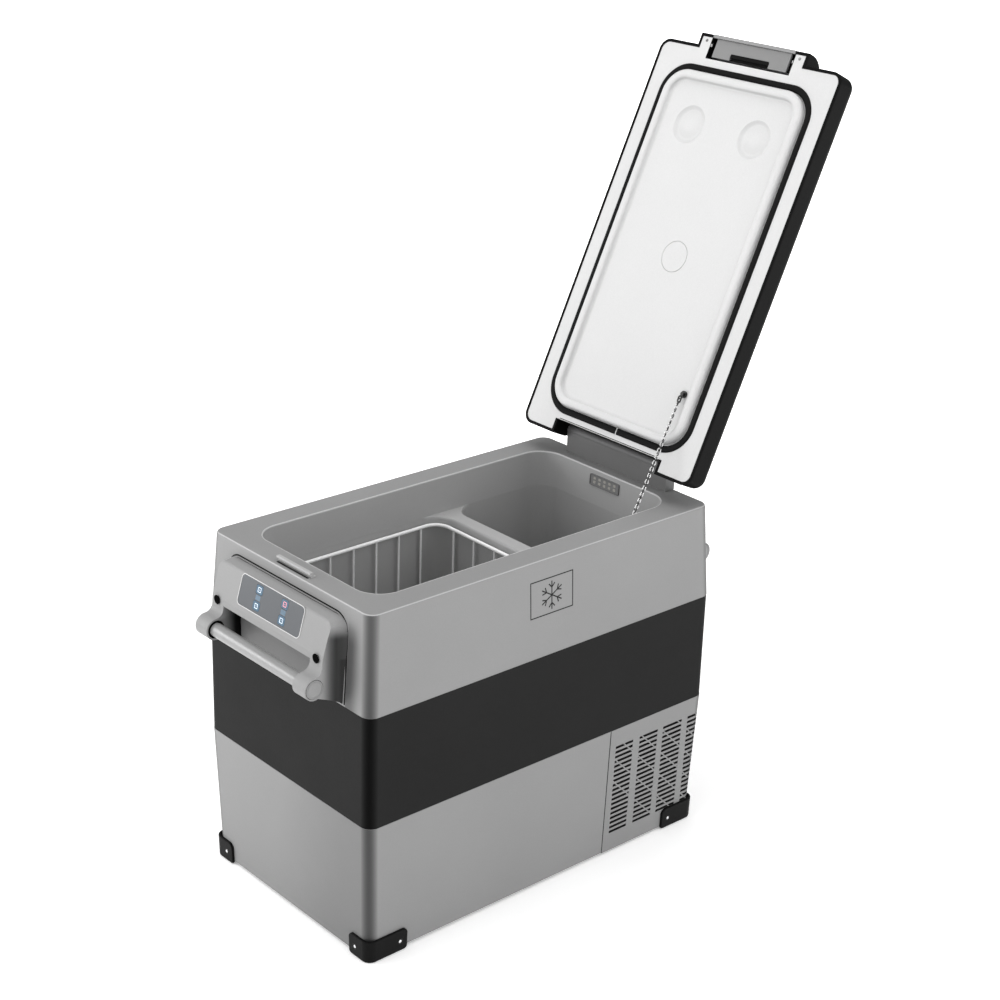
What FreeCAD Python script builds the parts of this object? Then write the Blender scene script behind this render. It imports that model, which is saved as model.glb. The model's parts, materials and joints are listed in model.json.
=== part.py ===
import FreeCAD, Part
import math
import os

V = FreeCAD.Vector

# Compressor cooler fridge with two wells and an end-hinged lid.
# Millimetres. +Z is up and the floor is z = 0. X runs along the body: the control panel and the
# latch are at the -X end, the hinge and the machine compartment at the +X end.

# --- driving dimensions of the body ---
BODY_HALF_X = 306.25
BODY_HALF_Y = 178.85
BODY_CORNER = 16.0
BODY_BOTTOM = 4.0
BAND_BOTTOM = 204.0
BAND_TOP = 362.0
RIM_Z = 499.5
BOTTOM_INSET = 6.6
BAND_INSET = 2.0
RIM_INSET = 7.8
WALL = 3.5
RIM_PLATE = 4.0

# --- wells ---
MOUTH_HALF_X = 262.0
MOUTH_HALF_Y = 132.0
MOUTH_CORNER = 37.0
LINER_WALL = 3.0
LEDGE_Z = 447.0
WELL_HALF_Y = 128.0
WELL_CORNER = 28.0
DEEP_WELL_X = (-258.0, 58.0)
SHALLOW_WELL_X = (84.0, 258.0)
DEEP_FLOOR_Z = 50.0
SHALLOW_FLOOR_Z = 245.0

# --- machine compartment ---
COVER_SEAM_X = 120.0
BAY_X = 105.0
BAY_TOP = 202.0
SHEET = 1.2
BASE_TOP = 7.0
TRAY_HALF_X = 235.0
TRAY_HALF_Y = 120.0

# --- lid, drawn closed and then turned open about the hinge axis ---
LID_OPEN = 115.1
HINGE_X = 285.7
HINGE_Z = 532.6
LID_HALF_X = 298.5
LID_HALF_Y = 171.0
LID_CORNER = 17.0
LID_BOTTOM = 502.0
LID_TOP = 538.0
LID_EDGE_ROUND = 12.0
LID_WALL = 2.5
NOTCH_X = 278.0
NOTCH_HALF_Y = 104.0
TONGUE_X = -316.0
TONGUE_HALF_Y = 101.5
TONGUE_ROUND = 28.0
LATCH_HALF_Y = 77.5
LATCH_X = (-313.5, -281.5)
LATCH_PIVOT = (-286.0, 516.0)
RING_X = (-259.5, 256.5)
RING_HALF_Y = 130.5
RING_CORNER = 38.0
RING_WIDTH = 13.0
RING_BOTTOM = 492.5
PANEL_Z = 500.0
LINER_TOP = 504.5

# --- handle brackets ---
GRIP_X = 346.0
GRIP_Z = 395.0
GRIP_RADIUS = 9.5
ARM_RADIUS = 15.0
ARM_INNER = 95.0
ARM_OUTER = 121.0
BRACKET_HALF_Y = 131.0
BRACKET_TOP = 485.0
PANEL_TILT = 16.2
PANEL_CENTRE = (-325.7, 459.5)
WINDOW_SIZE = (135.0, 41.0)
KEY_SIZE = (14.0, 12.0)
KEY_Y = 27.5
KEY_RISE = 10.8

# --- fasteners ---
GUARD_SCREW_HEAD = 4.2
GUARD_SCREW_LENGTH = 6.0
SCREW_SHANK = 1.8
HOLE_EXTRA = 0.1
PIN_RADIUS = 3.5
RUNNING_FIT = 0.05


# ---------------------------------------------------------------- helpers

def save(name, *shapes):
    """Write one node: a single solid, or a group of separate solids."""
    shape = shapes[0] if len(shapes) == 1 else Part.makeCompound(list(shapes))
    shape.exportStep("parts/" + name + ".step")


def box(x_span, y_span, z_span):
    size = (x_span[1] - x_span[0], y_span[1] - y_span[0], z_span[1] - z_span[0])
    return Part.makeBox(*size, V(x_span[0], y_span[0], z_span[0]))


def rod(start, end, radius):
    """Cylinder between two points."""
    line = V(*end) - V(*start)
    return Part.makeCylinder(radius, line.Length, V(*start), line)


def round_outline(x_span, y_span, radius, z=0.0):
    """Closed wire: a rectangle with round corners at height z."""
    x0, x1 = x_span
    y0, y1 = y_span
    centres = ((x1 - radius, y1 - radius), (x0 + radius, y1 - radius),
               (x0 + radius, y0 + radius), (x1 - radius, y0 + radius))
    edges = []
    ends = []
    for turn, (cx, cy) in enumerate(centres):
        points = []
        for step in (0, 45, 90):
            angle = math.radians(90 * turn + step)
            points.append(V(cx + radius * math.cos(angle), cy + radius * math.sin(angle), z))
        edges.append(Part.Arc(*points).toShape())
        ends.append((points[0], points[2]))
    for turn in range(4):
        edges.append(Part.makeLine(ends[turn][1], ends[(turn + 1) % 4][0]))
    return Part.Wire(Part.__sortEdges__(edges))


def slab(x_span, y_span, z_span, radius):
    """Upright block with round vertical corners."""
    outline = round_outline(x_span, y_span, radius, z_span[0])
    return Part.Face(outline).extrude(V(0, 0, z_span[1] - z_span[0]))


def profile_xz(points, half_y):
    """Block whose side view is a closed list of (x, z) points, centred on y = 0."""
    corners = [V(x, -half_y, z) for x, z in points]
    wire = Part.makePolygon(corners + corners[:1])
    return Part.Face(wire).extrude(V(0, 2 * half_y, 0))


def mirrored_x(shape):
    return shape.mirror(V(0, 0, 0), V(1, 0, 0))


def mirrored_y(shape):
    return shape.mirror(V(0, 0, 0), V(0, 1, 0))


def both_sides(shape):
    """A shape and its mirror image across y = 0."""
    return [shape, mirrored_y(shape)]


def rounded(shape, radius, wanted):
    """Fillet the edges whose middle point passes the test."""
    edges = [e for e in shape.Edges if wanted(e.valueAt((e.FirstParameter + e.LastParameter) / 2))]
    return shape.makeFillet(radius, edges)


def only_solid(shape):
    """The one solid of a boolean result."""
    return max(shape.Solids, key=lambda solid: solid.Volume)


def body_inset(z):
    """How far the outer face stands inside the widest outline at height z."""
    if z < BAND_BOTTOM:
        return BOTTOM_INSET * (BAND_BOTTOM - z) / (BAND_BOTTOM - BODY_BOTTOM)
    if z > BAND_TOP:
        return RIM_INSET * (z - BAND_TOP) / (RIM_Z - BAND_TOP)
    return 0.0


def body_block(z_low, z_high, inset=0.0):
    """Solid with the body's tapered faces between two heights, moved inwards by inset."""
    outlines = []
    bends = [z for z in (BAND_BOTTOM, BAND_TOP) if z_low < z < z_high]
    for z in [z_low, *bends, z_high]:
        depth = inset + body_inset(z)
        half_x = BODY_HALF_X - depth
        half_y = BODY_HALF_Y - depth
        outlines.append(round_outline((-half_x, half_x), (-half_y, half_y), BODY_CORNER - inset, z))
    return Part.makeLoft(outlines, True, True)


def body_ring(z_low, z_high, inset=0.0):
    return body_block(z_low, z_high, inset).cut(body_block(z_low, z_high, WALL))


def open_lid(shape):
    """Turn a lid part from its closed place to the open rest pose."""
    turned = shape.copy()
    turned.rotate(V(HINGE_X, 0, HINGE_Z), V(0, 1, 0), LID_OPEN)
    return turned


def on_panel(shape):
    """Move a part drawn flat (x across, y up the face, z outwards) onto the tilted panel face."""
    placed = shape.copy()
    placed.rotate(V(0, 0, 0), V(0, 0, 1), -90)
    placed.rotate(V(0, 0, 0), V(0, 1, 0), -90 + PANEL_TILT)
    placed.translate(V(PANEL_CENTRE[0], 0, PANEL_CENTRE[1]))
    return placed


def pipe(points, radius):
    """Bent tube: straight runs joined by balls at the corners."""
    shape = rod(points[0], points[1], radius)
    for start, end in zip(points[1:], points[2:]):
        shape = shape.fuse([Part.makeSphere(radius, V(*start)), rod(start, end, radius)])
    return shape.removeSplitter()


# ---------------------------------------------------------------- corner guards and their screws

GUARD_THICK = 3.6
GUARD_GAP = 0.1
GUARD_LEG_X = 237.0
GUARD_LEG_Y = 134.0
GUARD_LEG_TOP = 24.0
GUARD_CORNER_TOP = 33.0
GUARD_FOOT_X = 227.0
GUARD_FOOT_Y = 123.0
GUARD_SCREW_Z = 16.0
GUARD_SCREW_X = 250.0
GUARD_SCREW_Y = 148.0


def guard_screw_places():
    """Head centre on the guard's face and inward direction, for the corner at +X +Y."""
    depth = body_inset(GUARD_SCREW_Z) - GUARD_GAP - GUARD_THICK
    on_side = ((GUARD_SCREW_X, BODY_HALF_Y - depth, GUARD_SCREW_Z), (0, -1, 0))
    on_end = ((BODY_HALF_X - depth, GUARD_SCREW_Y, GUARD_SCREW_Z), (-1, 0, 0))
    return [on_side, on_end]


def guard_screw(place, direction, head_radius, shank_radius):
    """Dome-headed screw through the guard into the body wall."""
    inward = V(*direction)
    head_base = V(*place) + inward * 0.9
    head = Part.makeCylinder(head_radius, 1.7, head_base - inward * 1.7, inward)
    shank = Part.makeCylinder(shank_radius, GUARD_SCREW_LENGTH, head_base, inward)
    return head.fuse(shank).removeSplitter()


def four_corners(shape):
    """Copies of a shape at the four corners, from the one at +X +Y."""
    across = mirrored_y(shape)
    return {"rear_left": shape, "rear_right": across,
            "front_left": mirrored_x(shape), "front_right": mirrored_x(across)}


def corner_guard():
    z_top = GUARD_CORNER_TOP + 2
    shell = body_block(0.0, z_top, -GUARD_GAP - GUARD_THICK)
    shell = shell.cut(body_block(BODY_BOTTOM - 0.1, z_top, -GUARD_GAP))
    side_view = profile_xz([(GUARD_LEG_X, 0), (GUARD_LEG_X, GUARD_LEG_TOP),
                            (258, GUARD_LEG_TOP), (270, GUARD_CORNER_TOP),
                            (330, GUARD_CORNER_TOP), (330, 0)], 200)
    end_points = [V(0, GUARD_LEG_Y, 0), V(0, GUARD_LEG_Y, GUARD_LEG_TOP), V(0, 150, GUARD_LEG_TOP),
                  V(0, 160, GUARD_CORNER_TOP), V(0, 210, GUARD_CORNER_TOP), V(0, 210, 0)]
    end_view = Part.Face(Part.makePolygon(end_points + end_points[:1])).extrude(V(400, 0, 0))
    legs = shell.common(side_view).common(end_view)
    foot = body_block(0.0, BODY_BOTTOM - 0.1, -GUARD_GAP - GUARD_THICK)
    foot = foot.common(box((GUARD_FOOT_X, 400), (GUARD_FOOT_Y, 300), (0, BODY_BOTTOM)))
    guard = only_solid(legs.fuse(foot).removeSplitter())
    for place, direction in guard_screw_places():
        guard = guard.cut(guard_screw(place, direction, GUARD_SCREW_HEAD + 0.3,
                                      SCREW_SHANK + HOLE_EXTRA))
    return guard


def guard_screw_holes():
    """Clearance for every guard screw, to cut from the walls behind the guards."""
    holes = []
    for place, direction in guard_screw_places():
        drill = guard_screw(place, direction, GUARD_SCREW_HEAD, SCREW_SHANK + HOLE_EXTRA)
        holes.extend(four_corners(drill).values())
    return holes


def make_guards():
    for name, guard in four_corners(corner_guard()).items():
        save("corner_guard_" + name, guard)
    screws = []
    for place, direction in guard_screw_places():
        screw = guard_screw(place, direction, GUARD_SCREW_HEAD, SCREW_SHANK)
        screws.extend(four_corners(screw).values())
    save("guard_screws", *screws)


# ---------------------------------------------------------------- handle brackets

HANDLE_SCREW_Y = 108.5
HANDLE_SCREW_Z = 430.0
HANDLE_HEAD_RADIUS = 3.1
RECESS_TOP = 425.0
BACK_PLATE = 2.5
CAP_RADIUS = 12.5
CAP_DEPTH = 4.0
SPIGOT_RADIUS = 6.0


def arm_profile():
    """Side view of the arms: panel face, hollow sweep outwards, round grip end, sloped underside."""
    grip = V(-GRIP_X, 0, GRIP_Z)
    face_top = V(-318.3, 0, BRACKET_TOP - 1.5)
    face_low = V(-333.5, 0, 432.0)
    sweep_start = V(-334.3, 0, 422.0)
    sweep_centre = V(-GRIP_X, 0, 422.0)
    grip_top = V(-GRIP_X, 0, GRIP_Z + ARM_RADIUS)
    sweep_radius = sweep_centre.z - grip_top.z
    diagonal = math.sqrt(0.5)
    sweep_mid = sweep_centre + V(sweep_radius * diagonal, 0, -sweep_radius * diagonal)
    grip_out = grip + V(-ARM_RADIUS, 0, 0)
    grip_low = grip + V(0.3 * ARM_RADIUS, 0, -math.sqrt(1 - 0.09) * ARM_RADIUS)
    root_low = V(-300.0, 0, BAND_TOP + 0.6)
    root_top = V(-290.0, 0, BRACKET_TOP)
    edges = [
        Part.makeLine(root_top, face_top),
        Part.makeLine(face_top, face_low),
        Part.makeLine(face_low, sweep_start),
        Part.Arc(sweep_start, sweep_mid, grip_top).toShape(),
        Part.Arc(grip_top, grip_out, grip_low).toShape(),
        Part.makeLine(grip_low, root_low),
        Part.makeLine(root_low, root_top),
    ]
    face = Part.Face(Part.Wire(Part.__sortEdges__(edges)))
    face.translate(V(0, -BRACKET_HALF_Y, 0))
    return face.extrude(V(0, 2 * BRACKET_HALF_Y, 0))


def bracket_envelope():
    """Front view of the bracket: wide at the body, drawn in towards the panel face."""
    def outline(x, half_y, top, corner):
        wire = round_outline((-half_y, half_y), (BAND_TOP - 60, top), corner)
        wire.rotate(V(0, 0, 0), V(1, 0, 0), 90)
        wire.rotate(V(0, 0, 0), V(0, 0, 1), -90)
        wire.translate(V(x, 0, 0) - V(wire.BoundBox.XMin, 0, 0))
        return wire

    near = outline(-295.0, BRACKET_HALF_Y + 1.5, BRACKET_TOP + 2, 19.0)
    middle = outline(-322.0, ARM_OUTER + 0.8, BRACKET_TOP, 15.0)
    far = outline(-365.0, ARM_OUTER, BRACKET_TOP, 15.0)
    base = Part.makeLoft([near, middle], True, True)
    arms = Part.makeLoft([middle, far], True, True)
    return base.fuse(arms)


def handle_screw(y, head_radius, shank_radius, length):
    """Screw deep in its recess, driven along +X into the body."""
    head = rod((-318.0, y, HANDLE_SCREW_Z), (-315.0, y, HANDLE_SCREW_Z), head_radius)
    shank = rod((-315.0, y, HANDLE_SCREW_Z), (-315.0 + length, y, HANDLE_SCREW_Z), shank_radius)
    return head.fuse(shank).removeSplitter()


def handle_bracket(with_panel):
    bracket = arm_profile().common(bracket_envelope())
    bracket = only_solid(bracket.cut(body_block(BAND_TOP - 10, RIM_Z, -0.1)))
    hand_space = box((-400, -304.4 - BACK_PLATE), (-ARM_INNER, ARM_INNER), (300, RECESS_TOP))
    bracket = bracket.cut(hand_space)
    bracket = rounded(bracket, 2.5, lambda p: abs(p.x + 318.3) < 0.5 and abs(p.y) < 90)
    for side in (-1, 1):
        axis_end = side * (ARM_OUTER + 5)
        bore = rod((-GRIP_X, 0, GRIP_Z), (-GRIP_X, axis_end, GRIP_Z), SPIGOT_RADIUS + 0.1)
        seat = rod((-GRIP_X, side * (ARM_OUTER - CAP_DEPTH), GRIP_Z), (-GRIP_X, axis_end, GRIP_Z),
                   CAP_RADIUS + 0.3)
        well = rod((-360, side * HANDLE_SCREW_Y, HANDLE_SCREW_Z),
                   (-315.0, side * HANDLE_SCREW_Y, HANDLE_SCREW_Z), HANDLE_HEAD_RADIUS + 0.4)
        drill = handle_screw(side * HANDLE_SCREW_Y, 1.0, 2.0 + HOLE_EXTRA, 30)
        bracket = bracket.cut([bore, seat, well, drill])
    if with_panel:
        bracket = bracket.cut([on_panel(window_plate(0.2)), on_panel(display_space())])
    return only_solid(bracket)


def grip_bar():
    bar = rod((-GRIP_X, -ARM_INNER + 0.2, GRIP_Z), (-GRIP_X, ARM_INNER - 0.2, GRIP_Z), GRIP_RADIUS)
    spigot_end = ARM_OUTER - CAP_DEPTH - 0.2
    spigots = rod((-GRIP_X, -spigot_end, GRIP_Z), (-GRIP_X, spigot_end, GRIP_Z), SPIGOT_RADIUS)
    return bar.fuse(spigots).removeSplitter()


def grip_cap():
    """Round cover of the grip's end, with a shallow ring near its edge."""
    inner = ARM_OUTER - CAP_DEPTH
    outer = ARM_OUTER + 0.4
    disc = rod((-GRIP_X, inner, GRIP_Z), (-GRIP_X, outer, GRIP_Z), CAP_RADIUS)
    ring = rod((-GRIP_X, outer - 0.5, GRIP_Z), (-GRIP_X, outer, GRIP_Z), 11.0)
    ring = ring.cut(rod((-GRIP_X, outer - 0.5, GRIP_Z), (-GRIP_X, outer, GRIP_Z), 10.4))
    return disc.cut(ring)


def make_handles():
    screws = [handle_screw(side * HANDLE_SCREW_Y, HANDLE_HEAD_RADIUS, 2.0, 17) for side in (-1, 1)]
    save("front_handle_bracket", handle_bracket(True))
    save("rear_handle_bracket", mirrored_x(handle_bracket(False)))
    save("front_grip", grip_bar())
    save("rear_grip", mirrored_x(grip_bar()))
    save("front_grip_caps", *both_sides(grip_cap()))
    save("rear_grip_caps", *both_sides(mirrored_x(grip_cap())))
    save("handle_screws", *screws, *[mirrored_x(screw) for screw in screws])


# ---------------------------------------------------------------- control panel

WINDOW_THICK = 1.6
KEY_NAMES = (("button_up", 1, 1), ("button_down", 1, -1),
             ("button_power", -1, 1), ("button_settings", -1, -1))


def window_plate(extra=0.0):
    half_w = WINDOW_SIZE[0] / 2 + extra
    half_h = WINDOW_SIZE[1] / 2 + extra
    return slab((-half_w, half_w), (-half_h, half_h), (-WINDOW_THICK, extra), 6.0 + extra)


def display_space():
    return box((-63, 63), (-17.6, 17.6), (-7.0, -WINDOW_THICK))


def key_block(side, row, extra=0.0):
    """One key, flush with the window. Flat x points to -Y once it is on the panel."""
    centre_x = -side * KEY_Y
    centre_y = row * KEY_RISE
    half_w = KEY_SIZE[0] / 2 + extra
    half_h = KEY_SIZE[1] / 2 + extra
    return slab((centre_x - half_w, centre_x + half_w), (centre_y - half_h, centre_y + half_h),
                (-WINDOW_THICK - extra, 0.1 + extra), 2.5)


def make_control_panel():
    window = window_plate()
    for _, side, row in KEY_NAMES:
        window = window.cut(key_block(side, row, 0.35))
    save("control_window", on_panel(window))
    save("display_board", on_panel(box((-60, 60), (-16, 16), (-5.2, -3.6))))
    for name, side, row in KEY_NAMES:
        save(name, on_panel(key_block(side, row)))


# ---------------------------------------------------------------- body shells

SEAM_GAP = 0.2


def vent_slots():
    """Rows of slots in columns on both long sides and across the hinge end, crossed by slanted ribs."""
    pitch = 7.7
    rows = 19
    height = 4.0
    first_z = 33.0
    columns_x = ((132, 166), (179, 215), (226, 264), (276, 340))
    columns_y = ((-200, -128), (-112, -76), (76, 112), (128, 200))
    slots = []
    for row in range(rows):
        z_span = (first_z + row * pitch, first_z + row * pitch + height)
        for x_span in columns_x:
            for side in (-1, 1):
                y_span = sorted((side * 150, side * 200))
                if x_span[1] < 300:
                    slots.append(box(x_span, y_span, z_span))
        for y_span in columns_y:
            x_low = 276 if abs(y_span[0] + y_span[1]) > 300 else 290
            slots.append(box((x_low, 340), y_span, z_span))
    return Part.makeCompound(slots)


def slanted_ribs():
    """Thin ribs that run down towards the hinge end across the slots of each long side."""
    ribs = []
    width = 2.4
    for start_x in range(60, 300, 36):
        points = [V(start_x, -200, 190), V(start_x + width, -200, 190),
                  V(start_x + width + 170, -200, 20), V(start_x + 170, -200, 20)]
        ribs.append(Part.Face(Part.makePolygon(points + points[:1])).extrude(V(0, 400, 0)))
    return ribs


def make_body():
    upper = body_block(BAND_TOP, RIM_Z)
    upper = rounded(upper, 3.5, lambda p: p.z > RIM_Z - 0.01)
    upper = upper.cut(body_block(BAND_TOP - 1, RIM_Z - RIM_PLATE, WALL))
    mouth = slab((-MOUTH_HALF_X, MOUTH_HALF_X), (-MOUTH_HALF_Y, MOUTH_HALF_Y),
                 (RIM_Z - 30, RIM_Z + 5), MOUTH_CORNER)
    upper = rounded(upper.cut(mouth), 2.5,
                    lambda p: p.z > RIM_Z - 0.01 and abs(p.x) < MOUTH_HALF_X + 1
                    and abs(p.y) < MOUTH_HALF_Y + 1)
    drills = []
    for side in (-1, 1):
        drill = handle_screw(side * HANDLE_SCREW_Y, 1.0, 2.0 + HOLE_EXTRA, 30)
        drills += [drill, mirrored_x(drill)]
    upper = upper.cut(drills).cut(rim_fastener_holes())
    save("upper_shell", only_solid(upper))

    save("middle_band", only_solid(body_ring(BAND_BOTTOM, BAND_TOP, BAND_INSET)))

    lower = body_ring(BODY_BOTTOM, BAND_BOTTOM).cut(guard_screw_holes())
    front = lower.common(box((-400, COVER_SEAM_X - SEAM_GAP), (-300, 300), (0, 300)))
    save("lower_shell", only_solid(front))
    cover = lower.common(box((COVER_SEAM_X + SEAM_GAP, 400), (-300, 300), (0, 300)))
    slots = vent_slots().cut(slanted_ribs())
    cover = cover.cut(slots).cut([inlet_cutout(*inlet) for inlet in INLETS])
    save("vent_cover", only_solid(cover))

    tray = box((-TRAY_HALF_X, TRAY_HALF_X), (-TRAY_HALF_Y, TRAY_HALF_Y), (0.0, BASE_TOP))
    save("base_plate", body_block(BODY_BOTTOM, BASE_TOP, WALL + 0.2).fuse(tray).removeSplitter())

    wall = box((BAY_X, BAY_X + SHEET), (-168, 168), (BASE_TOP, BAY_TOP))
    ceiling = box((BAY_X, 298), (-168, 168), (BAY_TOP - SHEET, BAY_TOP))
    save("bay_partition", wall.fuse(ceiling).removeSplitter())


# ---------------------------------------------------------------- liner, foam, evaporator

def well_block(x_span, floor_z, grow):
    """Space of one well, or its outside when grow is the wall thickness."""
    z_span = (floor_z - grow, LEDGE_Z)
    block = slab((x_span[0] - grow, x_span[1] + grow), (-WELL_HALF_Y - grow, WELL_HALF_Y + grow),
                 z_span, WELL_CORNER + grow)
    return rounded(block, 10.0 + grow, lambda p: p.z < z_span[0] + 0.01)


def mouth_block(z_span, grow):
    return slab((-MOUTH_HALF_X - grow, MOUTH_HALF_X + grow),
                (-MOUTH_HALF_Y - grow, MOUTH_HALF_Y + grow), z_span, MOUTH_CORNER + grow)


def liner_outside():
    """Everything the liner encloses, with its wall and its top flange."""
    plate_under = RIM_Z - RIM_PLATE
    walls = mouth_block((LEDGE_Z - LINER_WALL, plate_under), LINER_WALL)
    flange = mouth_block((plate_under - 3.0, plate_under), 12.0)
    deep = well_block(DEEP_WELL_X, DEEP_FLOOR_Z, LINER_WALL)
    shallow = well_block(SHALLOW_WELL_X, SHALLOW_FLOOR_Z, LINER_WALL)
    return walls.fuse([flange, deep, shallow])


def liner_inside():
    top = mouth_block((LEDGE_Z, RIM_Z), 0.0)
    deep = well_block(DEEP_WELL_X, DEEP_FLOOR_Z, 0.0)
    shallow = well_block(SHALLOW_WELL_X, SHALLOW_FLOOR_Z, 0.0)
    return top.fuse([deep, shallow])


LAMP_HALF_Y = 30.0
LAMP_Z = (475.0, 492.0)
EVAPORATOR_LEVELS = (120.0, 185.0, 250.0, 315.0)
EVAPORATOR_TUBE = 3.0


def lamp_space(extra):
    return box((MOUTH_HALF_X - 1.5 - extra, MOUTH_HALF_X + 5.0 + extra),
               (-LAMP_HALF_Y - extra, LAMP_HALF_Y + extra), (LAMP_Z[0] - extra, LAMP_Z[1] + extra))


def evaporator_tube():
    """Level turns round the deep well, joined by short uprights at its inner end."""
    away = LINER_WALL + EVAPORATOR_TUBE + 0.5
    half_y = WELL_HALF_Y + away
    radius = WELL_CORNER + away
    x0 = DEEP_WELL_X[0] - away
    x1 = DEEP_WELL_X[1] + away
    pieces = []
    for z in EVAPORATOR_LEVELS:
        sides = [((x0 + radius, -half_y, z), (x1 - radius, -half_y, z)),
                 ((x0 + radius, half_y, z), (x1 - radius, half_y, z)),
                 ((x0, -half_y + radius, z), (x0, half_y - radius, z)),
                 ((x1, -half_y + radius, z), (x1, half_y - radius, z))]
        pieces += [rod(start, end, EVAPORATOR_TUBE) for start, end in sides]
        corners = ((x1 - radius, half_y - radius, 0), (x0 + radius, half_y - radius, 90),
                   (x0 + radius, -half_y + radius, 180), (x1 - radius, -half_y + radius, 270))
        for cx, cy, start_angle in corners:
            bend = Part.makeTorus(radius, EVAPORATOR_TUBE, V(0, 0, 0), V(0, 0, 1), 0, 360, 90)
            bend.rotate(V(0, 0, 0), V(0, 0, 1), start_angle)
            bend.translate(V(cx, cy, z))
            pieces.append(bend)
    for index, z in enumerate(EVAPORATOR_LEVELS[:-1]):
        y = -40.0 + 25.0 * index
        pieces.append(rod((x1, y, z), (x1, y, EVAPORATOR_LEVELS[index + 1]), EVAPORATOR_TUBE - 0.5))
    return only_solid(pieces[0].fuse(pieces[1:]))


def evaporator_channel():
    """Free band in the foam for the evaporator tube."""
    grow_in = LINER_WALL
    grow_out = LINER_WALL + 2 * EVAPORATOR_TUBE + 1.0
    z_span = (EVAPORATOR_LEVELS[0] - 6, EVAPORATOR_LEVELS[-1] + 6)

    def block(grow):
        return slab((DEEP_WELL_X[0] - grow, DEEP_WELL_X[1] + grow),
                    (-WELL_HALF_Y - grow, WELL_HALF_Y + grow), z_span, WELL_CORNER + grow)

    return block(grow_out).cut(block(grow_in))


def make_inside():
    outside = liner_outside()
    liner = outside.cut(liner_inside()).cut(lamp_space(0.2))
    liner = only_solid(liner.cut(rod(*CHAIN_ANCHOR_BODY, 1.6)))
    save("inner_liner", liner)

    foam = body_block(BASE_TOP, RIM_Z - RIM_PLATE, WALL + 0.1)
    bay = box((BAY_X - 0.1, 400), (-300, 300), (0, BAY_TOP + 0.1))
    foam = foam.cut(bay).cut(outside).cut(evaporator_channel()).cut(lamp_space(0.2))
    drills = [handle_screw(side * HANDLE_SCREW_Y, 1.0, 2.1, 30) for side in (-1, 1)]
    foam = foam.cut(drills + [mirrored_x(drill) for drill in drills])
    foam = foam.cut(rim_fastener_holes()).cut(rod(*CHAIN_ANCHOR_BODY, 1.6))
    save("foam_insulation", only_solid(foam))

    save("evaporator_tube", evaporator_tube())
    lens = lamp_space(0.0)
    save("interior_lamp", rounded(lens, 1.0, lambda p: p.x < MOUTH_HALF_X - 1.4))


# ---------------------------------------------------------------- rim hardware

STRIKER_X = (-290.0, -284.0)
STRIKER_HALF_Y = 36.0
STRIKER_TOP = 506.7
HINGE_SCREW_Y = 80.0
HINGE_HALF_Y = 102.0
BARREL_RADIUS = 6.5
RIM_SCREW_RADIUS = 1.5
CHAIN_ANCHOR_BODY = ((186.5, -MOUTH_HALF_Y - 8.0, 486.0), (186.5, -MOUTH_HALF_Y + 1.8, 486.0))
CHAIN_LOW = (187.4, -127.6, 488.0)
CHAIN_HIGH = (292.6, -108.6, 641.2)
CHAIN_RADIUS = 1.8


def rim_screw(x, y, radius, top, length):
    """Countersunk screw driven down through the hinge block into the rim plate."""
    shank = rod((x, y, top - length), (x, y, top), radius)
    head = Part.makeCone(radius, radius + 1.5, 1.8, V(x, y, top - 1.8))
    return shank.fuse(head).removeSplitter()


def rim_screw_places():
    return [(293.0, side * HINGE_SCREW_Y, RIM_Z + 6.0) for side in (-1, 1)]


def rim_fastener_holes():
    return [rod((x, y, top - 20), (x, y, top + 5), RIM_SCREW_RADIUS + HOLE_EXTRA)
            for x, y, top in rim_screw_places()]


def make_rim_hardware():
    lip_x, web_x = STRIKER_X
    striker = profile_xz([(web_x, RIM_Z), (web_x, STRIKER_TOP - 0.8), (web_x - 0.8, STRIKER_TOP),
                          (lip_x + 0.6, STRIKER_TOP), (lip_x, STRIKER_TOP - 0.6),
                          (lip_x, STRIKER_TOP - 2.4), (lip_x + 3.0, STRIKER_TOP - 2.4),
                          (lip_x + 3.0, RIM_Z)], STRIKER_HALF_Y)
    flange = box((web_x - 3.0, web_x + 4.0), (-STRIKER_HALF_Y, STRIKER_HALF_Y), (RIM_Z, RIM_Z + 1.2))
    striker = striker.fuse(flange).removeSplitter()
    block = profile_xz([(279.6, RIM_Z), (297.4, RIM_Z), (297.4, RIM_Z + 8), (294.5, 521.0),
                        (291.4, HINGE_Z), (279.6, HINGE_Z)], HINGE_HALF_Y)
    barrel = rod((HINGE_X, -HINGE_HALF_Y, HINGE_Z), (HINGE_X, HINGE_HALF_Y, HINGE_Z), BARREL_RADIUS)
    block = block.fuse(barrel)
    pins = []
    for side in (-1, 1):
        inner = side * (HINGE_HALF_Y - 20)
        outer = side * (NOTCH_HALF_Y + 14)
        pins.append(rod((HINGE_X, inner, HINGE_Z), (HINGE_X, outer, HINGE_Z), PIN_RADIUS))
    block = block.cut(pins)
    screws = []
    for x, y, top in rim_screw_places():
        tool = rim_screw(x, y, RIM_SCREW_RADIUS + HOLE_EXTRA, top, 14)
        access = rod((x, y, top), (x, y, top + 60), 4.2)
        block = block.cut(tool.fuse(access))
        screws.append(rim_screw(x, y, RIM_SCREW_RADIUS, top - 0.1, 13))
    save("latch_striker", striker)
    save("hinge_block", only_solid(block.removeSplitter()))
    save("hinge_pins", *pins)
    save("rim_screws", *screws)
    eyelet_end = V(*CHAIN_ANCHOR_BODY[1])
    stem = rod(*CHAIN_ANCHOR_BODY, 1.5)
    head = Part.makeCylinder(3.4, 1.7, eyelet_end - V(0, 1.7, 0), V(0, 1, 0))
    save("chain_anchor_body", stem.fuse(head).removeSplitter())


# ---------------------------------------------------------------- wire basket

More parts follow.
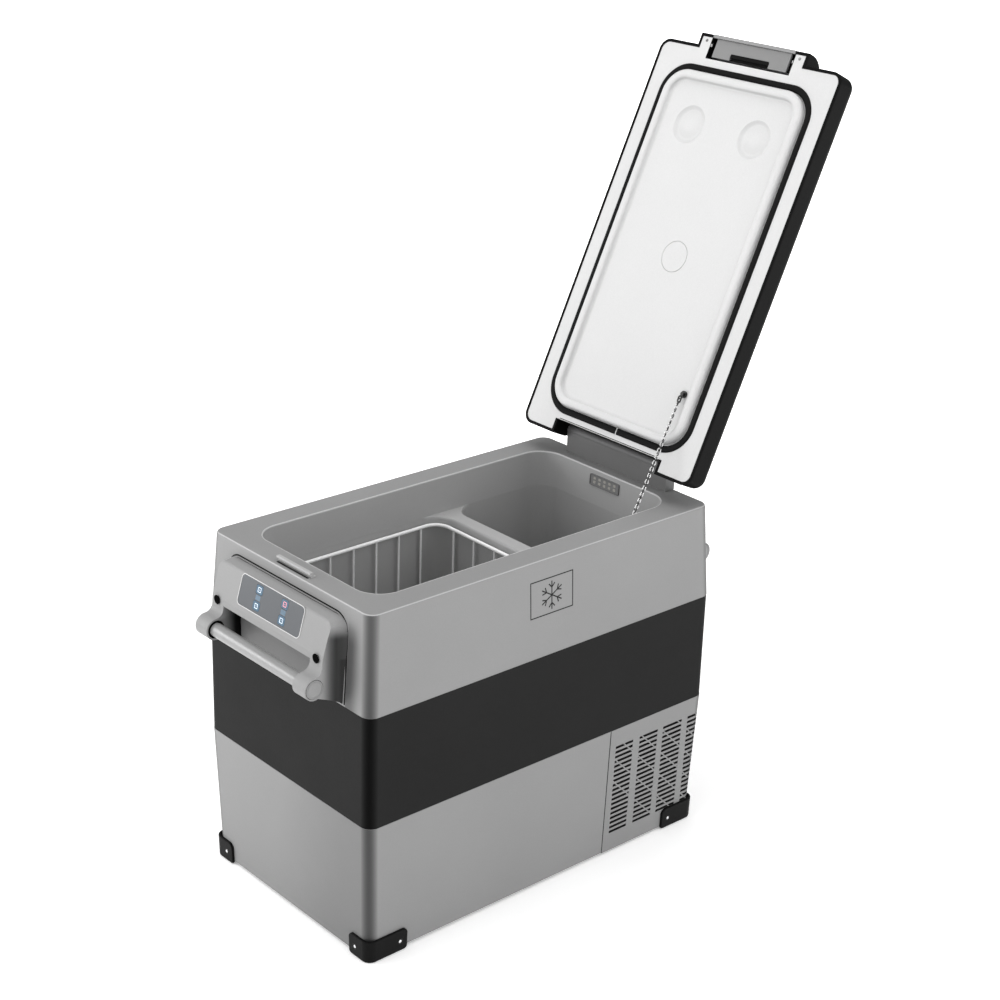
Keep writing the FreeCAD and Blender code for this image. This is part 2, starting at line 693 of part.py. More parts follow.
BASKET_X = (-252.0, 52.0)
BASKET_HALF_Y = 122.5
BASKET_RIM_Z = 436.0
BASKET_FLOOR_Z = 56.0
RIM_WIRE = 2.6
WIRE = 1.5


def wire_loop(x_span, half_y, corner, z, radius):
    """Closed level loop of wire with round corners."""
    x0, x1 = x_span
    sides = [((x0 + corner, -half_y, z), (x1 - corner, -half_y, z)),
             ((x0 + corner, half_y, z), (x1 - corner, half_y, z)),
             ((x0, -half_y + corner, z), (x0, half_y - corner, z)),
             ((x1, -half_y + corner, z), (x1, half_y - corner, z))]
    pieces = [rod(start, end, radius) for start, end in sides]
    centres = ((x1 - corner, half_y - corner, 0), (x0 + corner, half_y - corner, 90),
               (x0 + corner, -half_y + corner, 180), (x1 - corner, -half_y + corner, 270))
    for cx, cy, start_angle in centres:
        bend = Part.makeTorus(corner, radius, V(0, 0, 0), V(0, 0, 1), 0, 360, 90)
        bend.rotate(V(0, 0, 0), V(0, 0, 1), start_angle)
        bend.translate(V(cx, cy, z))
        pieces.append(bend)
    return pieces


def u_wire_along_y(x):
    """Wire down one long wall, across the floor and up the other."""
    top = BASKET_RIM_Z
    y = BASKET_HALF_Y
    return pipe([(x, -y, top), (x, -y, BASKET_FLOOR_Z), (x, y, BASKET_FLOOR_Z), (x, y, top)], WIRE)


def u_wire_along_x(y):
    """Wire down one end wall, across the floor and up the other."""
    top = BASKET_RIM_Z
    floor_z = BASKET_FLOOR_Z + 1.6
    x0, x1 = BASKET_X
    return pipe([(x0, y, top), (x0, y, floor_z), (x1, y, floor_z), (x1, y, top)], WIRE)


def make_basket():
    """Welded basket, parted at its corners into four walls and a floor that meet face to face."""
    pieces = wire_loop(BASKET_X, BASKET_HALF_Y, 24.0, BASKET_RIM_Z, RIM_WIRE)
    for z in (170.0, 300.0):
        pieces += wire_loop(BASKET_X, BASKET_HALF_Y, 24.0, z, WIRE + 0.4)
    for count in range(7):
        pieces.append(u_wire_along_y(BASKET_X[0] + 32 + count * 40.0))
    for count in range(5):
        pieces.append(u_wire_along_x(-88.0 + count * 44.0))
    whole = only_solid(pieces[0].fuse(pieces[1:]))
    x0, x1 = BASKET_X[0] + 12.0, BASKET_X[1] - 12.0
    side_y = 115.0
    zones = {
        "basket_side_left": ((-300, 100), (-140, -side_y)),
        "basket_side_right": ((-300, 100), (side_y, 140)),
        "basket_end_control": ((-300, x0), (-side_y, side_y)),
        "basket_end_divider": ((x1, 100), (-side_y, side_y)),
        "basket_floor": ((x0, x1), (-side_y, side_y)),
    }
    for name, (x_span, y_span) in zones.items():
        save(name, only_solid(whole.common(box(x_span, y_span, (40, 450)))))


# ---------------------------------------------------------------- machine compartment

COMPRESSOR_CENTRE = (190.0, -72.0)
COMPRESSOR_RADIUS = 52.0
FAN_CENTRE = (190.0, 74.0, 82.0)
INLETS = (("dc_inlet", -20.0, 9.0), ("ac_inlet", 24.0, 14.0))
INLET_Z = 60.0


def compressor():
    x, y = COMPRESSOR_CENTRE
    can = Part.makeCylinder(COMPRESSOR_RADIUS, 104.0, V(x, y, 30.0))
    can = can.makeFillet(24.0, [e for e in can.Edges if e.Length > 100])
    weld = Part.makeCylinder(COMPRESSOR_RADIUS + 2.5, 4.0, V(x, y, 80.0))
    foot = slab((x - 62, x + 62), (y - 46, y + 46), (23.0, 26.0), 12.0)
    pedestal = Part.makeCylinder(30.0, 8.0, V(x, y, 25.0))
    return can.fuse([weld, pedestal, foot]).removeSplitter()


def compressor_feet():
    x, y = COMPRESSOR_CENTRE
    places = [(x + dx, y + dy) for dx in (-52, 52) for dy in (-36, 36)]
    return [Part.makeCylinder(8.0, 16.0, V(px, py, BASE_TOP)) for px, py in places]


def fan_frame():
    x, y, z = FAN_CENTRE
    frame = box((x - 60, x + 60), (y - 12.5, y + 12.5), (z - 60, z + 60))
    frame = frame.cut(rod((x, y - 20, z), (x, y + 20, z), 56.0))
    motor = rod((x, y + 6.5, z), (x, y + 12.5, z), 19.0)
    spokes = [motor]
    for angle in (45, 135, 225, 315):
        spoke = box((x, x + 59), (y + 9.5, y + 12.5), (z - 2.5, z + 2.5))
        spoke.rotate(V(x, y, z), V(0, 1, 0), angle)
        spokes.append(spoke)
    shaft = rod((x, y - 6, z), (x, y + 8, z), 1.5)
    return only_solid(frame.fuse(spokes + [shaft]).removeSplitter())


def fan_rotor():
    x, y, z = FAN_CENTRE
    hub = rod((x, y - 10, z), (x, y + 5.5, z), 20.0)
    blades = []
    for count in range(7):
        blade = box((x + 17, x + 53), (y - 0.8, y + 0.8), (z - 11, z + 11))
        blade.rotate(V(x, y, z), V(1, 0, 0), 34)
        blade = blade.common(box((x, x + 60), (y - 9, y + 5), (z - 30, z + 30)))
        blade.rotate(V(x, y, z), V(0, 1, 0), count * 360.0 / 7)
        blades.append(blade)
    rotor = hub.fuse(blades)
    bore = rod((x, y - 7, z), (x, y + 10, z), 1.5 + RUNNING_FIT)
    return only_solid(rotor.cut(bore).removeSplitter())


def condenser():
    """Block of thin fins on two end plates, crossed by tube rows."""
    x, _, z = FAN_CENTRE
    y_span = (26.0, 56.0)
    pieces = [box((x - 62 + 124 * side - side * 1.5, x - 60.5 + 124 * side - side * 1.5), y_span,
                  (z - 58, z + 58)) for side in (0, 1)]
    fins = [box((x - 56 + 5.0 * n, x - 55.4 + 5.0 * n), y_span, (z - 56, z + 56)) for n in range(23)]
    tubes = [rod((x - 62, y, z + dz), (x + 62, y, z + dz), 3.0)
             for y in (34.0, 48.0) for dz in (-45, -27, -9, 9, 27, 45)]
    return only_solid(tubes[0].fuse(tubes[1:] + pieces + fins))


def inlet_flange(centre_y, half_width, extra):
    return slab_x((292.0, 303.2), (centre_y - half_width - 3 - extra, centre_y + half_width + 3 + extra),
                  (INLET_Z - 12 - extra, INLET_Z + 12 + extra), 3.0)


def slab_x(x_span, y_span, z_span, radius):
    """Block along X with round corners in its front view."""
    block = slab((z_span[0], z_span[1]), y_span, (0, x_span[1] - x_span[0]), radius)
    block.rotate(V(0, 0, 0), V(0, 1, 0), 90)
    block = block.mirror(V(0, 0, 0), V(0, 0, 1))
    block.translate(V(x_span[0], 0, 0))
    return block


def inlet_cutout(_, centre_y, half_width):
    return inlet_flange(centre_y, half_width, 0.2)


def make_inlets():
    for name, centre_y, half_width in INLETS:
        flange = inlet_flange(centre_y, half_width, 0.0)
        housing = slab_x((262.0, 293.0), (centre_y - half_width, centre_y + half_width),
                         (INLET_Z - 9, INLET_Z + 9), 3.0)
        socket = slab_x((280.0, 310.0), (centre_y - half_width + 2.5, centre_y + half_width - 2.5),
                        (INLET_Z - 6, INLET_Z + 6), 4.0)
        prongs = [rod((276.0, centre_y + dy, INLET_Z), (296.0, centre_y + dy, INLET_Z), 1.2)
                  for dy in (-half_width / 2.5, half_width / 2.5)]
        inlet = flange.fuse(housing).cut(socket).fuse(prongs)
        save(name, only_solid(inlet.removeSplitter()))


def make_machine_bay():
    cx, cy = COMPRESSOR_CENTRE
    fx, fy, fz = FAN_CENTRE
    body = compressor()
    feet = compressor_feet()
    save("compressor", body)
    save("compressor_feet", *feet)
    save("fan_frame", fan_frame())
    save("fan_rotor", fan_rotor())
    save("condenser", condenser())
    legs = [box((fx + dx, fx + dx + 10), (28.0, 86.0), (BASE_TOP, fz - 60)) for dx in (-58, 48)]
    save("fan_bracket", *legs)
    module = box((112, 128), (-20, 60), (140, 196))
    save("control_module", rounded(module, 3.0, lambda p: p.x > 127.9))
    drier = rod((fx + 82, 20, 92), (fx + 82, 20, 160), 8.0)
    save("filter_drier", drier.makeFillet(5.0, [e for e in drier.Edges if e.Length > 40]))
    line_x = fx + 82
    discharge = pipe([(cx + 20, cy, 134.2), (cx + 20, cy, 166), (line_x, cy, 166),
                      (line_x, 20, 166), (line_x, 20, 160.2)], 2.5)
    save("discharge_line", discharge)


# ---------------------------------------------------------------- lid

def lid_block(inset, top, edge_round):
    """Outer or inner form of the lid with its top edge rounded."""
    block = slab((-LID_HALF_X + inset, LID_HALF_X - inset),
                 (-LID_HALF_Y + inset, LID_HALF_Y - inset), (LID_BOTTOM, top), LID_CORNER - inset)
    return rounded(block, edge_round, lambda p: p.z > top - 0.01)


def tongue_block(inset, half_y):
    """Quarter-round tongue that carries the latch at the free end."""
    out_x = TONGUE_X + inset
    top = LID_TOP - inset
    radius = TONGUE_ROUND - inset
    centre = V(out_x + radius, 0, top - radius)
    diagonal = math.sqrt(0.5) * radius
    edges = [
        Part.makeLine(V(-279.0, 0, LID_BOTTOM), V(out_x, 0, LID_BOTTOM)),
        Part.makeLine(V(out_x, 0, LID_BOTTOM), V(out_x, 0, centre.z)),
        Part.Arc(V(out_x, 0, centre.z), centre + V(-diagonal, 0, diagonal),
                 V(centre.x, 0, top)).toShape(),
        Part.makeLine(V(centre.x, 0, top), V(-279.0, 0, top)),
        Part.makeLine(V(-279.0, 0, top), V(-279.0, 0, LID_BOTTOM)),
    ]
    face = Part.Face(Part.Wire(Part.__sortEdges__(edges)))
    face.translate(V(0, -half_y, 0))
    return face.extrude(V(0, 2 * half_y, 0))


def hinge_notch(extra=0.0):
    return box((NOTCH_X - extra, 400), (-NOTCH_HALF_Y - extra, NOTCH_HALF_Y + extra),
               (LID_BOTTOM - 20, LID_TOP + 20))


def lid_hollow():
    """Foam space inside the lid shell, clear of the notch, the pin bosses and the latch pocket."""
    hollow = lid_block(LID_WALL, LID_TOP - LID_WALL, LID_EDGE_ROUND - LID_WALL)
    latch_pocket = box((-400, LATCH_X[1] + 2.5), (-LATCH_HALF_Y - 2.5, LATCH_HALF_Y + 2.5),
                       (LID_BOTTOM, LID_TOP))
    bosses = both_sides(box((NOTCH_X, 400), (100, NOTCH_HALF_Y + 18), (522, LID_TOP)))
    return only_solid(hollow.cut([hinge_notch(LID_WALL), latch_pocket] + bosses))


def latch_cavity():
    cavity = tongue_block(LID_WALL, LATCH_HALF_Y)
    return cavity.common(box(LATCH_X, (-200, 200), (LID_BOTTOM - 1, LID_TOP)))


def boss_screw_places():
    return [(-310.5, side * 90.0) for side in (-1, 1)]


def lid_shell():
    shell = lid_block(0.0, LID_TOP, LID_EDGE_ROUND)
    shell = shell.fuse(tongue_block(0.0, TONGUE_HALF_Y)).removeSplitter()
    shell = shell.cut(hinge_notch())
    shell = rounded(shell, 3.0, lambda p: p.x > LID_HALF_X - 0.01 and abs(p.z - LID_BOTTOM) < 0.01)
    shell = shell.cut(lid_hollow()).cut(latch_cavity())
    pin_bores = rod((HINGE_X, -NOTCH_HALF_Y - 14.5, HINGE_Z), (HINGE_X, NOTCH_HALF_Y + 14.5, HINGE_Z),
                    PIN_RADIUS + RUNNING_FIT)
    pivot_x, pivot_z = LATCH_PIVOT
    latch_bore = rod((pivot_x, -LATCH_HALF_Y - 2.4, pivot_z), (pivot_x, LATCH_HALF_Y + 2.4, pivot_z), 1.6)
    shell = shell.cut([pin_bores, latch_bore, liner_plate(0.15)])
    screws = [rod((x, y, LID_BOTTOM), (x, y, LID_BOTTOM + 10), 1.4) for x, y in boss_screw_places()]
    return only_solid(shell.cut(screws))


def liner_plate(extra):
    """Flat sheet of the lid liner: it stops at the shell's lip, the notch and the latch pocket."""
    inset = LID_WALL - extra
    plate = slab((-LID_HALF_X + inset, LID_HALF_X - inset - 1.0),
                 (-LID_HALF_Y + inset, LID_HALF_Y - inset), (LID_BOTTOM, LINER_TOP),
                 LID_CORNER - inset)
    tabs = both_sides(box((TONGUE_X + inset, -280), (LATCH_HALF_Y + 1.5, TONGUE_HALF_Y - inset),
                          (LID_BOTTOM, LINER_TOP)))
    pocket = box((-400, LATCH_X[1] + 1.0 - extra), (-LATCH_HALF_Y - 1.5, LATCH_HALF_Y + 1.5),
                 (LID_BOTTOM - 5, LINER_TOP + 5))
    return plate.fuse(tabs).cut([hinge_notch(1.2 - extra), pocket]).removeSplitter()


PLUG_X = 2.5
DISH_X = -183.5
DISH_Y = 62.0


def gasket_band(z_span, extra):
    outer = slab((-269.5 - extra, 267.5 + extra), (-143 - extra, 143 + extra), z_span, 40.0)
    inner = slab((-259.9 + extra, 257.9 - extra), (-133.4 + extra, 133.4 - extra), z_span, 31.0)
    return outer.cut(inner)


def lid_liner():
    liner = liner_plate(0.0)
    ring = slab(RING_X, (-RING_HALF_Y, RING_HALF_Y), (RING_BOTTOM, LID_BOTTOM + 1),
                RING_CORNER)
    ring = rounded(ring, 2.0, lambda p: p.z < RING_BOTTOM + 0.01)
    inside = slab((RING_X[0] + RING_WIDTH, RING_X[1] - RING_WIDTH),
                  (-RING_HALF_Y + RING_WIDTH, RING_HALF_Y - RING_WIDTH),
                  (RING_BOTTOM - 1, PANEL_Z), RING_CORNER - RING_WIDTH)
    liner = liner.fuse(ring).cut(inside)
    dishes = [Part.makeCylinder(28.0, 2.4, V(DISH_X, y, PANEL_Z)) for y in (-DISH_Y, DISH_Y)]
    plug = Part.makeCylinder(22.7, 2.0, V(PLUG_X, 0, PANEL_Z))
    anchor = Part.makeCylinder(1.6, 10.0, V(*ANCHOR_LID, PANEL_Z))
    liner = liner.cut(dishes + [plug, anchor, gasket_band((LID_BOTTOM - 9, LID_BOTTOM + 1.2), 0.1)])
    screws = [rod((x, y, LID_BOTTOM - 1), (x, y, LID_BOTTOM + 10), 1.4)
              for x, y in boss_screw_places()]
    return only_solid(liner.cut(screws).removeSplitter())


ANCHOR_LID = (180.5, -107.0)
PADDLE_X = (-311.0, -282.2)
PADDLE_Z = (507.5, 511.0)
PADDLE_HALF_Y = 74.5
STRIKER_SLOT_X = (-291.6, -282.6)


def latch_paddle():
    """Plate with a slot over the striker, a pivot barrel above it and a hook below it."""
    plate = box(PADDLE_X, (-PADDLE_HALF_Y, PADDLE_HALF_Y), PADDLE_Z)
    slot = box((STRIKER_SLOT_X[0], PADDLE_X[1] - 1.0), (-36.5, 36.5), (500, PADDLE_Z[0] + 1.5))
    lip = box((PADDLE_X[0], PADDLE_X[0] + 5.0), (-PADDLE_HALF_Y + 4, PADDLE_HALF_Y - 4), (504.0, PADDLE_Z[0]))
    web = box((-293.4, -291.6), (-33, 33), (502.4, PADDLE_Z[0] + 0.5))
    hook = box((-292.0, -288.4), (-33, 33), (502.4, 503.6))
    pivot_x, pivot_z = LATCH_PIVOT
    barrel = rod((pivot_x, -PADDLE_HALF_Y, pivot_z), (pivot_x, PADDLE_HALF_Y, pivot_z), 3.6)
    saddle = box((pivot_x - 2.6, pivot_x + 2.6), (-PADDLE_HALF_Y, PADDLE_HALF_Y), (PADDLE_Z[1] - 0.5, pivot_z))
    bore = rod((pivot_x, -90, pivot_z), (pivot_x, 90, pivot_z), 1.5 + RUNNING_FIT)
    shape = plate.cut(slot).fuse([lip, web, hook, barrel, saddle]).cut(bore)
    return only_solid(shape.removeSplitter())


def latch_spring():
    """Bent leaf between the paddle and the top of the latch pocket."""
    leaf = profile_xz([(-306.0, 511.6), (-298.0, 511.6), (-290.0, 528.0), (-283.0, 533.0),
                       (-283.0, 533.6), (-290.6, 528.4), (-298.6, 512.2), (-306.0, 512.2)], 6.0)
    return leaf


def make_lid():
    save("lid_outer_shell", open_lid(lid_shell()))
    save("lid_inner_liner", open_lid(lid_liner()))
    foam = lid_hollow().common(box((-400, 400), (-300, 300), (LINER_TOP + 0.1, LID_TOP)))
    foam = foam.cut(Part.makeCylinder(1.6, 10.0, V(*ANCHOR_LID, PANEL_Z)))
    save("lid_foam", open_lid(only_solid(foam)))
    save("lid_gasket", open_lid(gasket_band((LID_BOTTOM - 2.2, LID_BOTTOM + 1.2), 0.0)))
    plug = Part.makeCylinder(22.5, 2.2, V(PLUG_X, 0, PANEL_Z - 0.2))
    save("lid_plug", open_lid(plug))
    stem = Part.makeCylinder(1.5, 8.0, V(*ANCHOR_LID, PANEL_Z))
    head = Part.makeCylinder(5.0, 3.0, V(*ANCHOR_LID, PANEL_Z - 3.0))
    eye = Part.makeCylinder(2.6, 3.2, V(*ANCHOR_LID, PANEL_Z - 6.2))
    save("chain_anchor_lid", open_lid(stem.fuse([head, eye]).removeSplitter()))
    save("latch_paddle", open_lid(latch_paddle()))
    pivot_x, pivot_z = LATCH_PIVOT
    save("latch_pin", open_lid(rod((pivot_x, -LATCH_HALF_Y - 2.2, pivot_z),
                                   (pivot_x, LATCH_HALF_Y + 2.2, pivot_z), 1.5)))
    save("latch_spring", open_lid(latch_spring()))
    screws = []
    for x, y in boss_screw_places():
        shank = rod((x, y, LID_BOTTOM + 0.2), (x, y, LID_BOTTOM + 9), 1.3)
        screws.append(open_lid(shank))
    save("tongue_screws", *screws)
    save("lid_chain", rod(CHAIN_LOW, CHAIN_HIGH, CHAIN_RADIUS))


def main():
    os.makedirs("parts", exist_ok=True)
    make_guards()
    make_body()
    make_handles()
    make_control_panel()
    make_inside()
    make_rim_hardware()
    make_basket()
    make_machine_bay()
    make_inlets()
    make_lid()


main()
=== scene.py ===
"""Looks of the portable compressor fridge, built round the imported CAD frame. Metres, +Z up."""
import json
import math
import random

import bmesh
import bpy
from mathutils import Matrix, Vector


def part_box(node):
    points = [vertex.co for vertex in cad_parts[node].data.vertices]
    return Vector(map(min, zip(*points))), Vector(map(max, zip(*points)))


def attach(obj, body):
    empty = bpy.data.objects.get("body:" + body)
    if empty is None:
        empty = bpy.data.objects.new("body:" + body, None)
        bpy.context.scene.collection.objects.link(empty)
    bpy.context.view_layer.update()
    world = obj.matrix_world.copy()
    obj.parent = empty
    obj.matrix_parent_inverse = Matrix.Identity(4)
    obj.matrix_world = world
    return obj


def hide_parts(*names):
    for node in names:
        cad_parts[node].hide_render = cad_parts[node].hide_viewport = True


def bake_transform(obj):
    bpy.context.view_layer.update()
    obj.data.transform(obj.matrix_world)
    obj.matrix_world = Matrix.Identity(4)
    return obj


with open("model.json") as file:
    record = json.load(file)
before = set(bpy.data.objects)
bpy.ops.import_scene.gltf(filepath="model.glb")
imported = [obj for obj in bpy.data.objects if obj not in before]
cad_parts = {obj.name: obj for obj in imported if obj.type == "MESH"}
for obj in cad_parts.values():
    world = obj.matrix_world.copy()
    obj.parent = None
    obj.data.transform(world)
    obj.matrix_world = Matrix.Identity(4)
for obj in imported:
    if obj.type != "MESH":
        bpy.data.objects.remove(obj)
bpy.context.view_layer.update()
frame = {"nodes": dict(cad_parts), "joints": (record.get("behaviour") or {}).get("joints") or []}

MM = 0.001
random.seed(7)

JOINTS = {joint["name"]: joint for joint in frame["joints"]}
HINGE = Vector(JOINTS["lid_hinge"]["pos_m"])
LID_OPEN = math.radians(-JOINTS["lid_hinge"]["range_deg"][0])
LID_TURN = Matrix.Translation(HINGE) @ Matrix.Rotation(LID_OPEN, 4, "Y") @ Matrix.Translation(-HINGE)
LID_BACK = LID_TURN.inverted()


def node_box(name, turn=Matrix.Identity(4)):
    """Lowest and highest corners of a CAD node, in millimetres, after a turn."""
    points = [turn @ vertex.co for vertex in frame["nodes"][name].data.vertices]
    low = Vector([min(point[axis] for point in points) for axis in range(3)])
    high = Vector([max(point[axis] for point in points) for axis in range(3)])
    return low / MM, high / MM


UPPER_LOW, UPPER_HIGH = node_box("upper_shell")
BAND_LOW = node_box("middle_band")[0]
LOWER_LOW, LOWER_HIGH = node_box("lower_shell")
LID_LOW, LID_HIGH = node_box("lid_outer_shell", LID_BACK)
LID_LINER_LOW = node_box("lid_inner_liner", LID_BACK)[0]
GASKET_LOW, GASKET_HIGH = node_box("lid_gasket", LID_BACK)
PLUG_LOW, PLUG_HIGH = node_box("lid_plug", LID_BACK)
BRACKET_HIGH = node_box("front_handle_bracket")[1]
GRIP_LOW, GRIP_HIGH = node_box("front_grip")
STRIKER_LOW = node_box("latch_striker")[0]

# body shape, in millimetres
RIM_Z = UPPER_HIGH.z
BAND_TOP = UPPER_LOW.z
BAND_BOTTOM = BAND_LOW.z
BODY_BOTTOM = LOWER_LOW.z
BODY_X = UPPER_HIGH.x
BODY_Y = UPPER_HIGH.y
BODY_CORNER = 16.0
BRACKET_TOP = 480.4
RECESS_TOP = 425.0
RIM_INSET = 7.8
BOTTOM_INSET = 6.6
MOUTH_X = 262.0
MOUTH_Y = 132.0
MOUTH_CORNER = 37.0


# ---------------------------------------------------------------- mesh helpers

def body_inset(z):
    if z > BAND_TOP:
        return RIM_INSET * (z - BAND_TOP) / (RIM_Z - BAND_TOP)
    if z < BAND_BOTTOM:
        return BOTTOM_INSET * (BAND_BOTTOM - z) / (BAND_BOTTOM - BODY_BOTTOM)
    return 0.0


def round_rect(half_x, half_y, radius, steps=10, centre=(0.0, 0.0)):
    """Counter-clockwise outline with round corners, starting at the end of the +X side."""
    points = []
    corners = ((half_x - radius, half_y - radius), (radius - half_x, half_y - radius),
               (radius - half_x, radius - half_y), (half_x - radius, radius - half_y))
    for turn, (cx, cy) in enumerate(corners):
        for step in range(steps + 1):
            angle = math.pi / 2 * (turn + step / steps)
            points.append((centre[0] + cx + radius * math.cos(angle),
                           centre[1] + cy + radius * math.sin(angle)))
    return points


def ring_at(half_x, half_y, radius, z, steps=10, centre=(0.0, 0.0)):
    return [Vector((x, y, z)) for x, y in round_rect(half_x, half_y, radius, steps, centre)]


def around(centre, radius, angles):
    """Points on a circle in a plane, one for each angle in degrees."""
    return [(centre[0] + radius * math.cos(math.radians(angle)),
             centre[1] + radius * math.sin(math.radians(angle))) for angle in angles]


def arc(centre, radius, start, end, steps):
    """Points on an arc in a plane, angles in degrees."""
    return around(centre, radius, [start + (end - start) * step / steps for step in range(steps + 1)])


def mesh_object(name, bm, turn=None):
    """New object from a bmesh drawn in millimetres."""
    bmesh.ops.recalc_face_normals(bm, faces=bm.faces)
    if turn is not None:
        scaled = Matrix.Scale(1 / MM, 4) @ turn @ Matrix.Scale(MM, 4)
        bmesh.ops.transform(bm, matrix=scaled, verts=bm.verts)
    bmesh.ops.scale(bm, vec=(MM, MM, MM), verts=bm.verts)
    mesh = bpy.data.meshes.new(name)
    bm.to_mesh(mesh)
    bm.free()
    obj = bpy.data.objects.new(name, mesh)
    bpy.context.scene.collection.objects.link(obj)
    return obj


def loft(bm, rings, closed=True, cap_first=False, cap_last=False):
    """Skin between rings of equal point count."""
    rows = [[bm.verts.new(point) for point in ring] for ring in rings]
    count = len(rows[0])
    for low, high in zip(rows, rows[1:]):
        for index in range(count if closed else count - 1):
            after = (index + 1) % count
            bm.faces.new((low[index], low[after], high[after], high[index]))
    if cap_first:
        bm.faces.new(rows[0])
    if cap_last:
        bm.faces.new(rows[-1])
    return rows


def lofted(rings, **ends):
    """New bmesh that holds one skin."""
    bm = bmesh.new()
    loft(bm, rings, **ends)
    return bm


def block(bm, low, high):
    """Axis-aligned block; returns its vertices."""
    corners = [(x, y, z) for z in (low[2], high[2])
               for x, y in ((low[0], low[1]), (high[0], low[1]), (high[0], high[1]), (low[0], high[1]))]
    verts = [bm.verts.new(corner) for corner in corners]
    for face in ((3, 2, 1, 0), (4, 5, 6, 7), (0, 1, 5, 4), (1, 2, 6, 5), (2, 3, 7, 6), (3, 0, 4, 7)):
        bm.faces.new([verts[index] for index in face])
    return verts


def lathe(bm, profile, origin, axis, steps=32):
    """Surface of revolution: profile points are (radius, distance along the axis)."""
    return loft(bm, turned_rings(profile, origin, axis, steps), True, profile[0][0] > 0, profile[-1][0] > 0)


def turned_rings(profile, origin, axis, steps):
    """Rings of a surface of revolution, one for each profile point."""
    axis = Vector(axis).normalized()
    side = axis.orthogonal().normalized()
    other = axis.cross(side)
    angles = [2 * math.pi * step / steps for step in range(steps)]
    return [[Vector(origin) + axis * along + (side * math.cos(a) + other * math.sin(a)) * radius
             for a in angles] for radius, along in profile]


def quarter(steps, first=0):
    """Sine and cosine at each step of a quarter turn."""
    for step in range(first, steps + 1):
        angle = math.pi / 2 * step / steps
        yield math.sin(angle), math.cos(angle)


def smooth(obj, degrees=32, weighted=True):
    """Smooth shading with crisp edges where faces meet sharply."""
    for polygon in obj.data.polygons:
        polygon.use_smooth = True
    obj.data.set_sharp_from_angle(angle=math.radians(degrees))
    if weighted:
        normals = obj.modifiers.new("weighted", "WEIGHTED_NORMAL")
        normals.keep_sharp = True
        normals.weight = 60


def bevel(obj, width, segments=3, degrees=30):
    """Round every sharp edge by width millimetres."""
    tool = obj.modifiers.new("bevel", "BEVEL")
    tool.width = width * MM
    tool.segments = segments
    tool.limit_method = "ANGLE"
    tool.angle_limit = math.radians(degrees)
    tool.use_clamp_overlap = True
    return tool


def baked(obj):
    """Apply every modifier of a piece into its mesh."""
    bpy.context.view_layer.update()
    graph = bpy.context.evaluated_depsgraph_get()
    mesh = bpy.data.meshes.new_from_object(obj.evaluated_get(graph))
    obj.modifiers.clear()
    obj.data = mesh
    return obj


def carve(obj, cutters, operation="DIFFERENCE"):
    """Boolean with each cutter in turn; the cutters are removed."""
    for cutter in cutters:
        tool = obj.modifiers.new("cut", "BOOLEAN")
        tool.operation = operation
        tool.solver = "EXACT"
        tool.object = cutter
        baked(obj)
        bpy.data.objects.remove(cutter)
    return obj


def settle(obj, body, material, nodes=()):
    """Give a piece its material and its body, and hide the CAD nodes it stands for."""
    obj.data.materials.clear()
    obj.data.materials.append(material)
    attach(obj, body)
    if nodes:
        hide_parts(*nodes)
    return obj


def piece(name, bm, body, material, nodes=(), degrees=32, turn=None):
    """New smooth piece from a bmesh, settled on its body."""
    obj = mesh_object(name, bm, turn)
    smooth(obj, degrees)
    return settle(obj, body, material, nodes)


def dress(node, material, degrees=32, edge=0.0):
    """Finish a CAD node that is shown as it is."""
    obj = frame["nodes"][node]
    obj.data.materials.clear()
    obj.data.materials.append(material)
    if edge:
        flat = obj.modifiers.new("flat", "DECIMATE")
        flat.decimate_type = "DISSOLVE"
        flat.angle_limit = math.radians(0.4)
        bevel(obj, edge, 2, 40)
    smooth(obj, degrees)
    return obj


# ---------------------------------------------------------------- materials

def new_material(name):
    material = bpy.data.materials.new(name)
    material.use_nodes = True
    nodes = material.node_tree.nodes
    shader = nodes["Principled BSDF"]
    return material, nodes, material.node_tree.links, shader


def noise(nodes, links, scale, detail=3.0, roughness=0.55):
    texture = nodes.new("ShaderNodeTexNoise")
    texture.inputs["Scale"].default_value = scale
    texture.inputs["Detail"].default_value = detail
    texture.inputs["Roughness"].default_value = roughness
    links.new(object_place(nodes), texture.inputs["Vector"])
    return texture.outputs["Fac"]


def object_place(nodes):
    return nodes.new("ShaderNodeTexCoord").outputs["Object"]


def face_normal(nodes):
    return nodes.new("ShaderNodeNewGeometry").outputs["Normal"]


def split(nodes, links, vector):
    """The X, Y and Z of a vector, by name."""
    node = nodes.new("ShaderNodeSeparateXYZ")
    links.new(vector, node.inputs["Vector"])
    return node.outputs


def feed(links, value, socket):
    """Give a socket a fixed value, or the output of another node."""
    if isinstance(value, bpy.types.NodeSocket):
        links.new(value, socket)
    else:
        socket.default_value = value


def reckon(nodes, links, kind, operation, *values):
    """Result of one Math or VectorMath node."""
    node = nodes.new("ShaderNode" + kind)
    node.operation = operation
    for value, socket in zip(values, node.inputs):
        feed(links, value, socket)
    return node.outputs["Vector" if kind == "VectorMath" and operation == "MULTIPLY" else "Value"]


def remap(nodes, links, source, span, low, high=1.0, gentle=False):
    """Map a span of values to low at its start and high at its end."""
    node = nodes.new("ShaderNodeMapRange")
    if gentle:
        node.interpolation_type = "SMOOTHSTEP"
    for name, value in (("Value", source), ("From Min", span[0]), ("From Max", span[1]),
                        ("To Min", low), ("To Max", high)):
        feed(links, value, node.inputs[name])
    return node.outputs["Result"]


